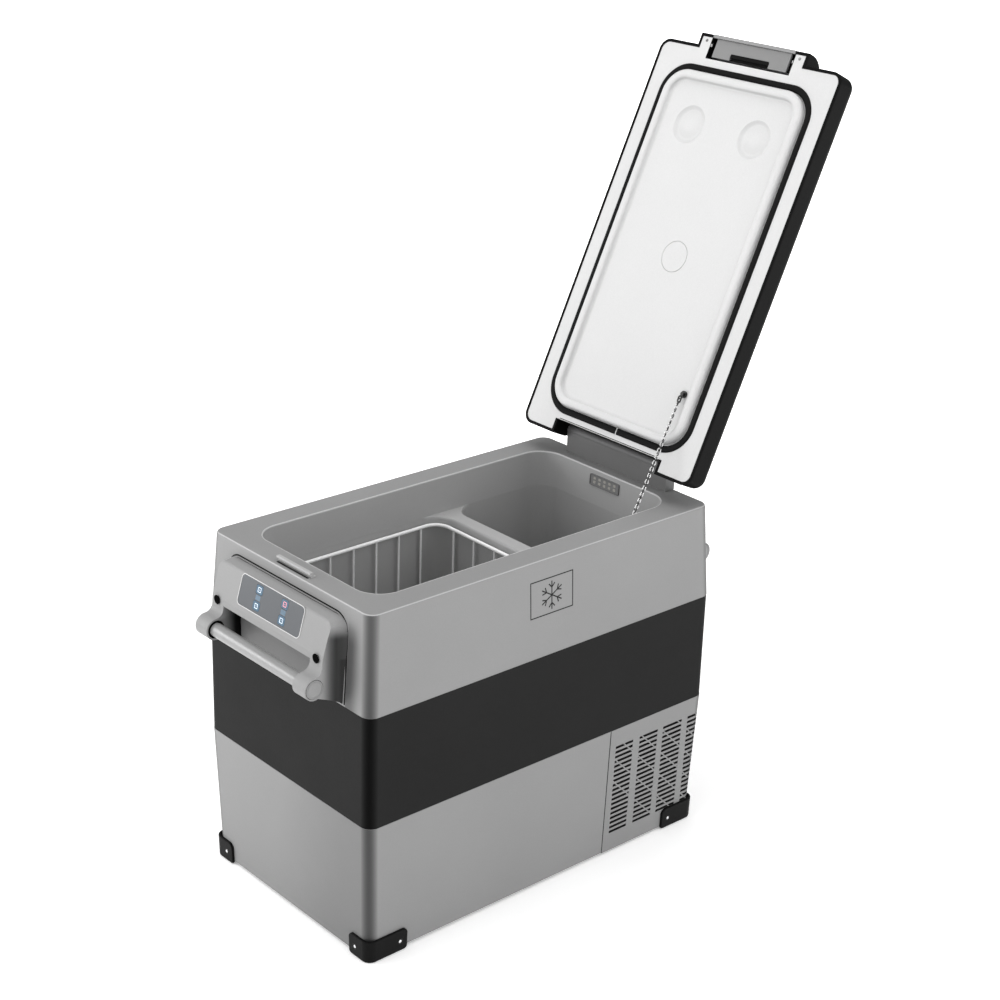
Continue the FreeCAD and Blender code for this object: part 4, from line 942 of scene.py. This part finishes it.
def bracket_outline(grow, corner=20.0, foot=0.0):
    """Outline of the bracket's base on the end wall, from one foot over the top to the other."""
    half = BRACKET_HALF_Y - 5.2 + grow
    top = BRACKET_TOP + grow
    low = BAND_TOP + 2.4 + foot
    points = [(-half, low), (-half, top - corner - 40.0)]
    points += [(y - half + corner, z + top - corner) for y, z in arc((0, 0), corner, 180, 90, 10)]
    points += [(y + half - corner, z + top - corner) for y, z in arc((0, 0), corner, 90, 0, 10)]
    return points + [(half, top - corner - 40.0), (half, low)]


def outline_strip(name, inner, outer, height, material, mirrored):
    """Flat strip round the bracket's base, standing height proud of the end wall."""
    rings = []
    for grow, lift in ((inner, -1.0), (inner, height), (outer, height), (outer, -1.0)):
        rings.append([Vector((end_wall_x(z) - lift, y, z)) for y, z in bracket_outline(grow, 20.0 + grow)])
    bm = lofted(rings + rings[:1], closed=False)
    if mirrored:
        bmesh.ops.scale(bm, vec=(-1, 1, 1), verts=bm.verts)
    piece(name, bm, "cabinet", material, degrees=30)


def make_bracket_trim(side_name, mirrored):
    """Painted shadow lines and a lip round the bracket, screw wells lined with painted shade, and the dark
    rings at grip and caps.
    """
    # Black strips paint the shadow in the groove on either side of the lip.
    outline_strip(side_name + "_shadow_inner", -8.0, 1.5, 0.35, BLACK, mirrored)
    outline_strip(side_name + "_lip", 1.5, 2.8, 1.2, LIP, mirrored)
    outline_strip(side_name + "_shadow_outer", 2.8, 5.0, 0.15, BLACK, mirrored)
    flip = -1.0 if mirrored else 1.0
    bm = bmesh.new()
    for side in (-1, 1):
        well = [(6.3, -0.15), (6.3, 0.6), (4.65, 0.8), (4.65, 16.0), (0.0, 16.0)]
        lathe(bm, well, (-335.0 * flip, side * SCREW_Y, SCREW_Z), (flip, 0, 0), 28)
        seam = [(12.0, -1.0), (12.0, -0.5), (13.3, -0.5), (13.3, -1.0)]
        lathe_ring(bm, seam, (GRIP_X * flip, side * 121.0, GRIP_Z), (0, side, 0))
        collar = [(9.3, 0.0), (9.3, 0.45), (12.4, 0.45), (12.4, 0.0)]
        lathe_ring(bm, collar, (GRIP_X * flip, side * ARM_INNER, GRIP_Z), (0, -side, 0))
    piece(side_name + "_dark_rings", bm, "cabinet", SHADE_AND_JOINT_BLACK, degrees=40)


def lathe_ring(bm, profile, origin, axis, steps=40):
    """Closed ring of revolution."""
    rings = turned_rings(profile, origin, axis, steps)
    loft(bm, rings + rings[:1])
    bmesh.ops.remove_doubles(bm, verts=bm.verts, dist=0.0005)


# ---------------------------------------------------------------- control panel print

def flat_frame(bm, half_w, half_h, radius, stroke, low, high, centre=(0.0, 0.0), steps=6):
    """Raised rectangular outline with round corners."""
    outer = (half_w, half_h, radius)
    inner = (half_w - stroke, half_h - stroke, max(radius - stroke, 0.2))
    rings = [ring_at(*shape, z, steps, centre)
             for shape, z in ((outer, low), (outer, high), (inner, high), (inner, low))]
    loft(bm, rings + rings[:1])


def panel_piece(name, bm, material, body="cabinet"):
    """Finish a piece that was drawn flat on the tilted panel."""
    bmesh.ops.remove_doubles(bm, verts=bm.verts, dist=0.0005)
    bmesh.ops.transform(bm, matrix=PANEL_FRAME, verts=bm.verts)
    return piece(name, bm, body, material, degrees=30)


def key_place(node):
    low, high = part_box(node)
    return PANEL_FRAME.inverted() @ ((Vector(low) + Vector(high)) / 2 / MM)


def make_panel_print():
    """Light outline of the window, the soft glow between the keys and the four square legends."""
    bm = bmesh.new()
    flat_frame(bm, WINDOW_HALF[0] + 0.8, WINDOW_HALF[1] + 0.8, 6.8, 0.8, -0.3, 0.3)
    panel_piece("window_outline", bm, PRINT)
    for name, first, second in (("glow_set", "button_up", "button_down"),
                                ("glow_power", "button_power", "button_settings")):
        middle = (key_place(first) + key_place(second)) / 2
        bm = lofted([ring_at(5.0, 3.4, 1.2, z, 4, (middle.x, middle.y)) for z in (-0.2, 0.06)],
                    cap_first=True, cap_last=True)
        panel_piece(name, bm, GLOW_BLUE)
    for node, material, slot in (("button_up", LEGEND_WHITE, "key"),
                                 ("button_down", LEGEND_WHITE, "key"),
                                 ("button_power", LEGEND_RED, "key_red"),
                                 ("button_settings", LEGEND_WHITE, "key")):
        place = key_place(node)
        bm = bmesh.new()
        flat_frame(bm, 3.3, 3.3, 0.9, 0.7, -0.2, 0.22, (place.x, place.y), 3)
        add_glyph(bm, node, place)
        panel_piece(node + "_legend", bm, material, node.replace("button", "key"))


def add_glyph(bm, node, place):
    """Small mark inside a key's square: arrows, a bar for power, a dot for settings."""
    marks = {"button_up": ((-1.3, -0.7), (1.3, -0.7), (0.0, 1.1)),
             "button_down": ((-1.3, 0.7), (0.0, -1.1), (1.3, 0.7)),
             "button_power": ((-0.45, -1.4), (0.45, -1.4), (0.45, 1.4), (-0.45, 1.4)),
             "button_settings": ((-0.8, -0.8), (0.8, -0.8), (0.8, 0.8), (-0.8, 0.8))}
    rings = [[Vector((place.x + 0.6 * x, place.y + 0.6 * y, z)) for x, y in marks[node]]
             for z in (-0.2, 0.22)]
    loft(bm, rings, cap_first=True, cap_last=True)


# ---------------------------------------------------------------- small parts on the cabinet

def make_lamp():
    """Lamp on the hinge end's inner wall: light frame, lens and two rows of diodes."""
    low, high = [Vector(corner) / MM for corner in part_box("interior_lamp")]
    middle = (low + high) / 2
    half_y, half_z = (high.y - low.y) / 2, (high.z - low.z) / 2
    draft = math.atan((MOUTH_X - SHALLOW_X[1]) / (RIM_Z - LEDGE_Z))
    face = low.x - (RIM_Z - middle.z) * math.tan(draft)
    turn = Matrix.Rotation(draft, 4, "Y") @ Matrix(((0, 0, -1), (-1, 0, 0), (0, 1, 0))).to_4x4()
    place = Matrix.Translation(Vector((face, middle.y, middle.z))) @ turn

    def lamp_piece(name, bm, material, nodes=()):
        bmesh.ops.transform(bm, matrix=place, verts=bm.verts)
        piece(name, bm, "cabinet", material, nodes, degrees=30)

    bm = bmesh.new()
    flat_frame(bm, half_y, half_z, 2.5, 1.4, -2.0, 0.3)
    lamp_piece("lamp_frame", bm, HINGE_GREY)
    bm = lofted([ring_at(half_y - 1.2, half_z - 1.2, 1.4, z, 4) for z in (-2.0, -0.7)],
                cap_first=True, cap_last=True)
    lamp_piece("lamp_window", bm, LAMP_LENS, ["interior_lamp"])
    bm = bmesh.new()
    for row in (-1, 1):
        for column in range(5):
            centre = ((column - 2) * half_y * 0.34, row * half_z * 0.36)
            loft(bm, [ring_at(2.3, 1.9, 0.7, z, 2, centre) for z in (-1.2, -0.45)],
                 cap_first=True, cap_last=True)
    lamp_piece("lamp_diodes", bm, LAMP_LED)


def make_emblem():
    """Generic frost mark in a square frame, printed on the long side."""
    z_middle = 446.0
    wall_y = -(BODY_Y - body_inset(z_middle))
    slope = math.atan((RIM_INSET) / (RIM_Z - BAND_TOP))
    place = (Matrix.Translation(Vector((0.0, wall_y, z_middle)))
             @ Matrix.Rotation(math.pi / 2 - slope, 4, "X"))
    bm = bmesh.new()
    flat_frame(bm, 38.0, 26.0, 0.6, 1.6, -0.3, 0.08, steps=2)
    for arm in range(3):
        turn = Matrix.Rotation(math.pi / 3 * arm, 4, "Z")
        strokes = [((0.0, -20.0), (0.0, 20.0))]
        for end in (-1, 1):
            for side in (-1, 1):
                strokes.append(((0.0, end * 11.0), (side * 5.2, end * 16.5)))
        for first, second in strokes:
            add_stroke(bm, turn, Vector((*first, 0)), Vector((*second, 0)), 0.9)
    bmesh.ops.transform(bm, matrix=place, verts=bm.verts)
    piece("frost_emblem", bm, "cabinet", INK, degrees=30)


def add_stroke(bm, turn, first, second, half_width):
    along = (second - first).normalized()
    across = Vector((-along.y, along.x, 0)) * half_width
    outline = [first - across, first + across, second + across, second - across]
    rings = [[turn @ (point + Vector((0, 0, z))) for point in outline] for z in (-0.3, 0.09)]
    loft(bm, rings, cap_first=True, cap_last=True)


# ---------------------------------------------------------------- lid

def lid_piece(name, bm):
    return mesh_object(name, bm, LID_TURN)


GASKET_CORNER = 47.6
GASKET_HALF_X = (GASKET_HIGH.x - GASKET_LOW.x) / 2
GASKET_HALF_Y = (GASKET_HIGH.y - GASKET_LOW.y) / 2
GASKET_CENTRE = ((GASKET_HIGH.x + GASKET_LOW.x) / 2, 0.0)


def make_gasket():
    """Soft bulb seal in its groove, with a joint at the hinge side."""
    width = 9.6
    base = GASKET_HIGH.z
    tip = GASKET_LOW.z
    section = [(0.3, base), (0.0, base - 1.6), (0.9, tip + 0.7), (2.4, tip), (4.8, tip + 0.25),
               (width - 2.4, tip), (width - 0.9, tip + 0.7), (width, base - 1.6), (width - 0.3, base)]
    bm = bmesh.new()
    rings = [ring_at(GASKET_HALF_X - inset, GASKET_HALF_Y - inset, GASKET_CORNER - inset, z, 16,
                     GASKET_CENTRE) for inset, z in section]
    loft(bm, rings + rings[:1])
    bmesh.ops.remove_doubles(bm, verts=bm.verts, dist=0.001)
    piece("lid_gasket_skin", bm, "lid", GASKET, ["lid_gasket"], degrees=60, turn=LID_TURN)
    bm = bmesh.new()
    x_high = GASKET_HIGH.x + 0.1
    block(bm, (x_high - width - 0.2, -12.9, tip + 0.02), (x_high, -11.7, base - 0.5))
    settle(lid_piece("gasket_joint", bm), "lid", PRINT)


RING_WIDTH = 13.0
RING_HALF_Y = 130.5
RING_CORNER = 38.0
PANEL_Z = 500.0
BORDER_Z = LID_HIGH.z - 36.0
LIP_WIDTH = 4.6
GROOVE_GAP = 0.15
GROOVE_DEPTH = 1.5
POCKET_Y = 79.0


def make_lid_liner():
    """White liner: flat border, raised ring, sunk panel with two dished rounds."""
    ring_low = LID_LINER_LOW.z + 0.1
    ring_x = (-259.5, 256.5)
    half_x = (ring_x[1] - ring_x[0]) / 2
    centre = ((ring_x[0] + ring_x[1]) / 2, 0.0)
    outer_round, inner_round, foot_round = 5.5, 5.0, 5.0

    def ring(inset, z):
        return ring_at(half_x - inset, RING_HALF_Y - inset, RING_CORNER - inset, z, 16, centre)

    rings = [ring(-0.35, BORDER_Z + 3.0), ring(-0.3, BORDER_Z - 1.0)]
    for sine, cosine in quarter(6):
        rings.append(ring(outer_round * (1 - cosine) - 0.3,
                          ring_low + outer_round * (1 - sine)))
    for sine, cosine in quarter(6):
        rings.append(ring(RING_WIDTH - inner_round + inner_round * sine,
                          ring_low + 0.7 * inner_round * (1 - cosine)))
    foot = ring_low + 0.7 * inner_round
    for sine, cosine in quarter(5, 1):
        rings.append(ring(RING_WIDTH + foot_round * (1 - cosine),
                          foot + (PANEL_Z - foot) * sine))
    bm = bmesh.new()
    loops = [loft(bm, rings)[-1]]
    for x, y, profile in liner_rounds():
        circles = []
        for radius, depth in profile:
            circles.append([Vector((x + radius * math.cos(a), y + radius * math.sin(a), PANEL_Z + depth))
                            for a in [2 * math.pi * step / 64 for step in range(64)]])
        loops.append(loft(bm, circles, cap_last=True)[0])
    fill_between(bm, loops)
    piece("lid_liner_skin", bm, "lid", LID_WHITE, ["lid_inner_liner", "lid_plug"],
          degrees=40, turn=LID_TURN)


def fill_between(bm, loops):
    """Flat faces between closed loops of vertices."""
    edges = []
    for row in loops:
        for first, second in zip(row, row[1:] + row[:1]):
            edges.append(bm.edges.get((first, second)) or bm.edges.new((first, second)))
    bmesh.ops.triangle_fill(bm, use_beauty=True, use_dissolve=False, edges=edges)


def liner_rounds():
    """Places and section of the two dished rounds and the plug: (radius, height) from the panel."""
    dish = [(28.5, 0.0), (27.6, 0.3), (25.4, 1.9), (23.4, 3.1),
            (21.6, 3.4), (19.0, 2.9), (13.0, 1.6), (6.0, 0.9)]
    plug_x = (PLUG_LOW.x + PLUG_HIGH.x) / 2
    plug = [(23.0, 0.0), (22.9, 0.9), (22.35, 0.9), (22.25, -0.1), (21.7, -0.35), (12.0, -0.35)]
    return [(-183.5, -62.0, dish), (-183.5, 62.0, dish), (plug_x, 0.0, plug)]


def lid_outline(inset):
    """Outline of the lid's underside with its hinge notch and latch tongue."""
    half_y = LID_HIGH.y
    corner = 17.0
    notch = (278.0 - min(inset, 1.0), 104.0 + inset)
    tongue_x, tongue_y = LID_LOW.x + inset, 101.5 - inset
    end_x = 298.5
    outline = [notch, (end_x - inset, notch[1])]
    outline += [(end_x - corner + x, half_y - corner + y) for x, y in arc((0, 0), corner - inset, 0, 90, 8)]
    outline += [(corner - end_x + x, half_y - corner + y) for x, y in arc((0, 0), corner - inset, 90, 180, 8)]
    outline += [(inset - end_x, tongue_y), (tongue_x, tongue_y)]
    return outline + [(x, -y) for x, y in reversed(outline)]


def make_lid_border():
    """Flat white border between the gasket and the black lip, cut away at the latch pocket."""
    outline = lid_outline(LIP_WIDTH)
    middle = len(outline) // 2
    tab_x = outline[middle - 1][0]
    pocket_x = -281.5
    pocket = [(tab_x, POCKET_Y), (tab_x + 9.0, POCKET_Y), (tab_x + 9.0, POCKET_Y - 2.6),
              (tab_x + 13.0, POCKET_Y - 2.6), (tab_x + 13.0, POCKET_Y), (pocket_x - 2.0, POCKET_Y)]
    pocket += [(pocket_x - 2.0 + x, POCKET_Y - 2.0 + y) for x, y in arc((0, 0), 2.0, 67, 0, 3)]
    pocket += [(x, -y) for x, y in reversed(pocket)]
    outline = outline[:middle] + pocket + outline[middle:]
    bm = bmesh.new()
    outer = [bm.verts.new((x, y, BORDER_Z)) for x, y in outline]
    skirt = [bm.verts.new((x, y, BORDER_Z + 2.4)) for x, y in outline]
    half_x, half_y, corner = (size + GROOVE_GAP for size in (GASKET_HALF_X, GASKET_HALF_Y, GASKET_CORNER))
    groove = loft(bm, [ring_at(half_x, half_y, corner, z, 16, GASKET_CENTRE)
                       for z in (BORDER_Z, BORDER_Z + GROOVE_DEPTH)])
    floor = loft(bm, [ring_at(half_x - inset, half_y - inset, corner - inset, BORDER_Z + GROOVE_DEPTH,
                              16, GASKET_CENTRE) for inset in (0.0, 13.0)])
    for index in range(len(outer)):
        after = (index + 1) % len(outer)
        bm.faces.new((outer[index], outer[after], skirt[after], skirt[index]))
    fill_between(bm, [outer, groove[0]])
    bmesh.ops.remove_doubles(bm, verts=groove[1] + floor[0], dist=0.001)
    piece("lid_border_skin", bm, "lid", LID_WHITE, degrees=40, turn=LID_TURN)


def make_lid_trim():
    """Black lip round the border, the thin line along the hinge notch and the tab screws."""
    steps = ((-0.1, 3.0), (-0.1, -0.2), (0.4, -0.8), (1.1, -1.0), (3.6, -1.0), (4.3, -0.7), (4.6, 0.3))
    bm = lofted([[Vector((x, y, BORDER_Z + lift)) for x, y in lid_outline(inset)] for inset, lift in steps])
    piece("lid_lip", bm, "lid", LID_BLACK, degrees=50, turn=LID_TURN)
    bm = bmesh.new()
    notch_x = 277.0
    block(bm, (notch_x - 2.2, -101.0, BORDER_Z - 0.06), (notch_x - 1.1, 101.0, BORDER_Z + 0.5))
    settle(lid_piece("notch_line", bm), "lid", LID_BLACK)
    bm = bmesh.new()
    for side in (-1, 1):
        lathe(bm, [(2.3, 0.0), (2.3, 0.12), (1.4, 0.12), (1.2, -0.6), (0.0, -0.6)],
              (-306.0, side * 87.5, BORDER_Z), (0, 0, -1), 20)
    piece("tab_screws", bm, "lid", SCREW_GREY, degrees=40, turn=LID_TURN)


def make_latch():
    """Latch plate with its striker slot, the pull lip at the free edge and the dark hook behind."""
    half_y, slot_y = 70.0, 36.5
    free_x, inner_x = -311.4, -284.4
    slot_x = -292.4
    face_z, back_z = 503.6, 507.4
    outline = [(free_x, -half_y), (inner_x, -half_y), (inner_x, -slot_y), (slot_x, -slot_y),
               (slot_x, slot_y), (inner_x, slot_y), (inner_x, half_y), (free_x, half_y)]
    bm = lofted([[Vector((x, y, z)) for x, y in outline] for z in (face_z, back_z)],
                cap_first=True, cap_last=True)
    obj = lid_piece("latch_plate", bm)
    bevel(obj, 0.6, 2)
    smooth(obj, 40)
    settle(obj, "latch", LATCH, ["latch_paddle"])
    bm = bmesh.new()
    section = [(-316.4, 501.2), (-315.8, 500.7), (-312.6, 500.7), (-311.6, 501.4), (-311.4, 503.6),
               (-312.4, 504.2), (-315.9, 501.95), (-316.4, 501.9)]
    loft(bm, [[Vector((x, y, z)) for x, z in section] for y in (-77.2, 77.2)], cap_first=True, cap_last=True)
    piece("latch_pull_lip", bm, "latch", LIP, degrees=35, turn=LID_TURN)
    bm = bmesh.new()
    block(bm, (-293.8, -35.5, 503.2), (-291.9, 35.5, 511.0))
    block(bm, (-291.9, -35.5, 503.2), (-288.6, 35.5, 504.2))
    block(bm, (slot_x, -74.0, 507.5), (inner_x, 74.0, 508.5))
    settle(lid_piece("latch_hook", bm), "latch", BLACK)


# ---------------------------------------------------------------- stay chain

def chain_link(bm, centre, along, across, half_long, half_wide, wire):
    """One oval link of round wire in the plane of along and across."""
    normal = along.cross(across)
    straight = half_long - half_wide
    path = []
    for step in range(16):
        angle = 2 * math.pi * step / 16
        offset = math.cos(angle) * half_wide + (straight if math.cos(angle) > 0 else -straight)
        path.append(centre + along * offset + across * math.sin(angle) * half_wide)
    rings = []
    for step, point in enumerate(path):
        ahead = (path[(step + 1) % 16] - path[step - 1]).normalized()
        out = ahead.cross(normal)
        rings.append([point + (out * math.cos(a) + normal * math.sin(a)) * wire
                      for a in [2 * math.pi * k / 8 for k in range(8)]])
    loft(bm, rings + rings[:1])


CHAIN_PITCH = 4.6
CHAIN_LINK = (2.1, 0.74)
CLASP_LINK = (3.0, 1.15)
CLASP_HOOK = (2.4, 1.05)


def make_chain():
    """Oval links, each turned a quarter from the last, along the taut line."""
    low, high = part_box("lid_chain")
    start = Vector((low.x, low.y, low.z)) / MM
    end = Vector((high.x, high.y, high.z)) / MM
    line = end - start
    along = line.normalized()
    start = start + along * 1.2
    line = line - along * 2.4
    pitch = line.length / int(line.length / CHAIN_PITCH)
    side = along.cross(Vector((0, 1, 0))).normalized()
    up = side.cross(along)
    bm = bmesh.new()
    clasp = 2.6 * pitch
    reach = 0.0
    index = 0
    while reach < line.length - 0.5:
        last = reach > line.length - clasp - 0.5
        length = line.length - reach if last else pitch
        turn = math.radians(90 * (index % 2) + random.uniform(-14, 14) + 35)
        across = side * math.cos(turn) + up * math.sin(turn)
        known = len(bm.faces)
        if last:
            chain_link(bm, start + along * (reach + length / 2), along, side, length / 2, *CLASP_LINK)
            chain_link(bm, start + along * (reach + length * 0.32), along, up, length * 0.26, *CLASP_HOOK)
        else:
            chain_link(bm, start + along * (reach + length / 2), along, across, pitch / 2 + 0.6, *CHAIN_LINK)
        bm.faces.ensure_lookup_table()
        # Alternate links take the bright and the dark steel as painted glints and shade; the clasp takes the
        # dark steel.
        for face in bm.faces[known:]:
            face.material_index = 1 if last else index % 2
        reach += length
        index += 1
    bmesh.ops.remove_doubles(bm, verts=bm.verts, dist=0.0005)
    obj = mesh_object("lid_chain_links", bm)
    smooth(obj, 80, False)
    obj.data.materials.append(CHAIN_GLINT_STEEL)
    obj.data.materials.append(CHAIN_DARK)
    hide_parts("lid_chain")
    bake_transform(obj)


# ---------------------------------------------------------------- camera, light, floor

def make_camera():
    """Three-quarter view from the control end, with the small roll of the hand-held original."""
    data = bpy.data.cameras.new("camera")
    camera = bpy.data.objects.new("camera", data)
    bpy.context.scene.collection.objects.link(camera)
    data.sensor_width = 36.0
    data.lens = 73.55
    data.shift_x = 0.0031
    data.shift_y = -0.0006
    right = Vector((0.75385, -0.65646, 0.02779)).normalized()
    back = Vector((-0.61592, -0.69129, 0.37784)).normalized()
    up = back.cross(right).normalized()
    right = up.cross(back)
    rotation = Matrix((right, up, back)).transposed().to_4x4()
    camera.matrix_world = Matrix.Translation(Vector((-1.6748, -1.9399, 1.5712))) @ rotation
    data.clip_start = 0.1
    data.clip_end = 250.0
    bpy.context.scene.camera = camera


def area_light(name, place, target, size, power):
    data = bpy.data.lights.new(name, "AREA")
    data.shape = "RECTANGLE"
    data.size, data.size_y = size
    data.energy = power
    light = bpy.data.objects.new(name, data)
    bpy.context.scene.collection.objects.link(light)
    light.location = place
    light.rotation_mode = "QUATERNION"
    light.rotation_quaternion = (Vector(target) - Vector(place)).to_track_quat("-Z", "Y")


def far_light(name, direction, spread_degrees, level):
    """Very large, far softbox: level is the brightness it alone gives a white card that faces it."""
    data = bpy.data.lights.new(name, "SUN")
    data.angle = math.radians(spread_degrees)
    data.energy = level * math.pi
    light = bpy.data.objects.new(name, data)
    bpy.context.scene.collection.objects.link(light)
    light.rotation_mode = "QUATERNION"
    light.rotation_quaternion = (-Vector(direction)).to_track_quat("-Z", "Y")


SWEEP_SPAN = (0.9, 2.0)
SWEEP_NEAR = 0.26
FLOOR_REACH = 150000.0


def floor_material():
    """Pale floor that turns into the white sweep away from the object."""
    material, nodes, links, shader = new_material("pale_floor")
    tone = ramp(nodes, links, noise(nodes, links, 2.0, 2.0), (0.9,) * 3, (0.92,) * 3)
    links.new(tone, shader.inputs["Base Color"])
    shader.inputs["Roughness"].default_value = 0.8
    shader.inputs["Emission Color"].default_value = (1.0, 1.0, 1.0, 1.0)
    distance = reckon(nodes, links, "VectorMath", "LENGTH", object_place(nodes))
    links.new(remap(nodes, links, distance, SWEEP_SPAN, SWEEP_NEAR), shader.inputs["Emission Strength"])
    return material


def make_stage():
    bm = bmesh.new()
    bm.faces.new([bm.verts.new((x * FLOOR_REACH, y * FLOOR_REACH, 0.0))
                  for x, y in ((-1, -1), (1, -1), (1, 1), (-1, 1))])
    floor = mesh_object("floor", bm)
    floor.data.materials.append(floor_material())
    world = bpy.data.worlds.new("studio")
    world.use_nodes = True
    world.node_tree.nodes["Background"].inputs["Color"].default_value = (1.0, 1.0, 1.0, 1.0)
    world.node_tree.nodes["Background"].inputs["Strength"].default_value = 0.34
    bpy.context.scene.world = world
    bpy.context.scene.view_settings.view_transform = "Standard"
    far_light("left", (-0.86, 0.35, 0.42), 70, 0.36)
    far_light("right", (0.25, -0.86, 0.45), 70, 0.42)
    far_light("top", (0.05, 0.1, 1.0), 60, 0.55)
    area_light("end_fill", (-0.95, 0.85, 0.7), (-0.3, 0.1, 0.4), (0.5, 0.5), 5.0)


# ---------------------------------------------------------------- CAD nodes shown as they are

def dress_nodes():
    plain = {
        "vent_cover": VENT_BODY, "rear_grip": GRIP, "front_grip": GRIP, "front_grip_caps": TRIM,
        "rear_grip_caps": TRIM, "base_plate": COATED_SHEET_SHADED, "bay_partition": COATED_SHEET_SHADED, "fan_bracket": COATED_SHEET_SHADED,
        "foam_insulation": FOAM, "lid_foam": FOAM, "handle_screws": BLACK,
        "rim_screws": STEEL, "tongue_screws": STEEL, "hinge_pins": STEEL, "latch_pin": STEEL,
        "latch_spring": STEEL, "control_window": WINDOW, "display_board": BOARD,
        "button_up": KEY, "button_down": KEY, "button_power": KEY, "button_settings": KEY,
        "latch_striker": STRIKER, "hinge_block": HINGE_GREY, "interior_lamp": LAMP_LENS,
        "chain_anchor_lid": CHAIN_DARK, "chain_anchor_body": BRIGHT,
        # The condenser is dressed black as painted shade behind the vent slots.
        "compressor": COMPRESSOR, "compressor_feet": RUBBER, "condenser": BLACK,
        "fan_frame": BLACK, "fan_rotor": BLACK, "control_module": ALUMINIUM, "filter_drier": COPPER,
        "discharge_line": COPPER, "evaporator_tube": ALUMINIUM, "dc_inlet": BLACK, "ac_inlet": BLACK,
        "lid_outer_shell": LID_BLACK, "latch_paddle": LATCH,
    }
    plain.update({node: WIRE for node in frame["nodes"] if node.startswith("basket_")})
    for node, material in plain.items():
        dress(node, material)


make_camera()
make_stage()
dress_nodes()
make_upper_shell()
make_band()
make_lower_shell()
make_cover_seam()
make_vent_shade_sheets()
make_guards()
make_guard_screws()
make_liner()
make_rim_edges()
make_bracket("front_bracket_skin", "front_handle_bracket", False)
make_bracket("rear_bracket_skin", "rear_handle_bracket", True)
make_bracket_trim("front_bracket", False)
make_bracket_trim("rear_bracket", True)
make_panel_print()
make_lamp()
make_emblem()
make_gasket()
make_lid_liner()
make_lid_border()
make_lid_trim()
make_latch()
make_chain()
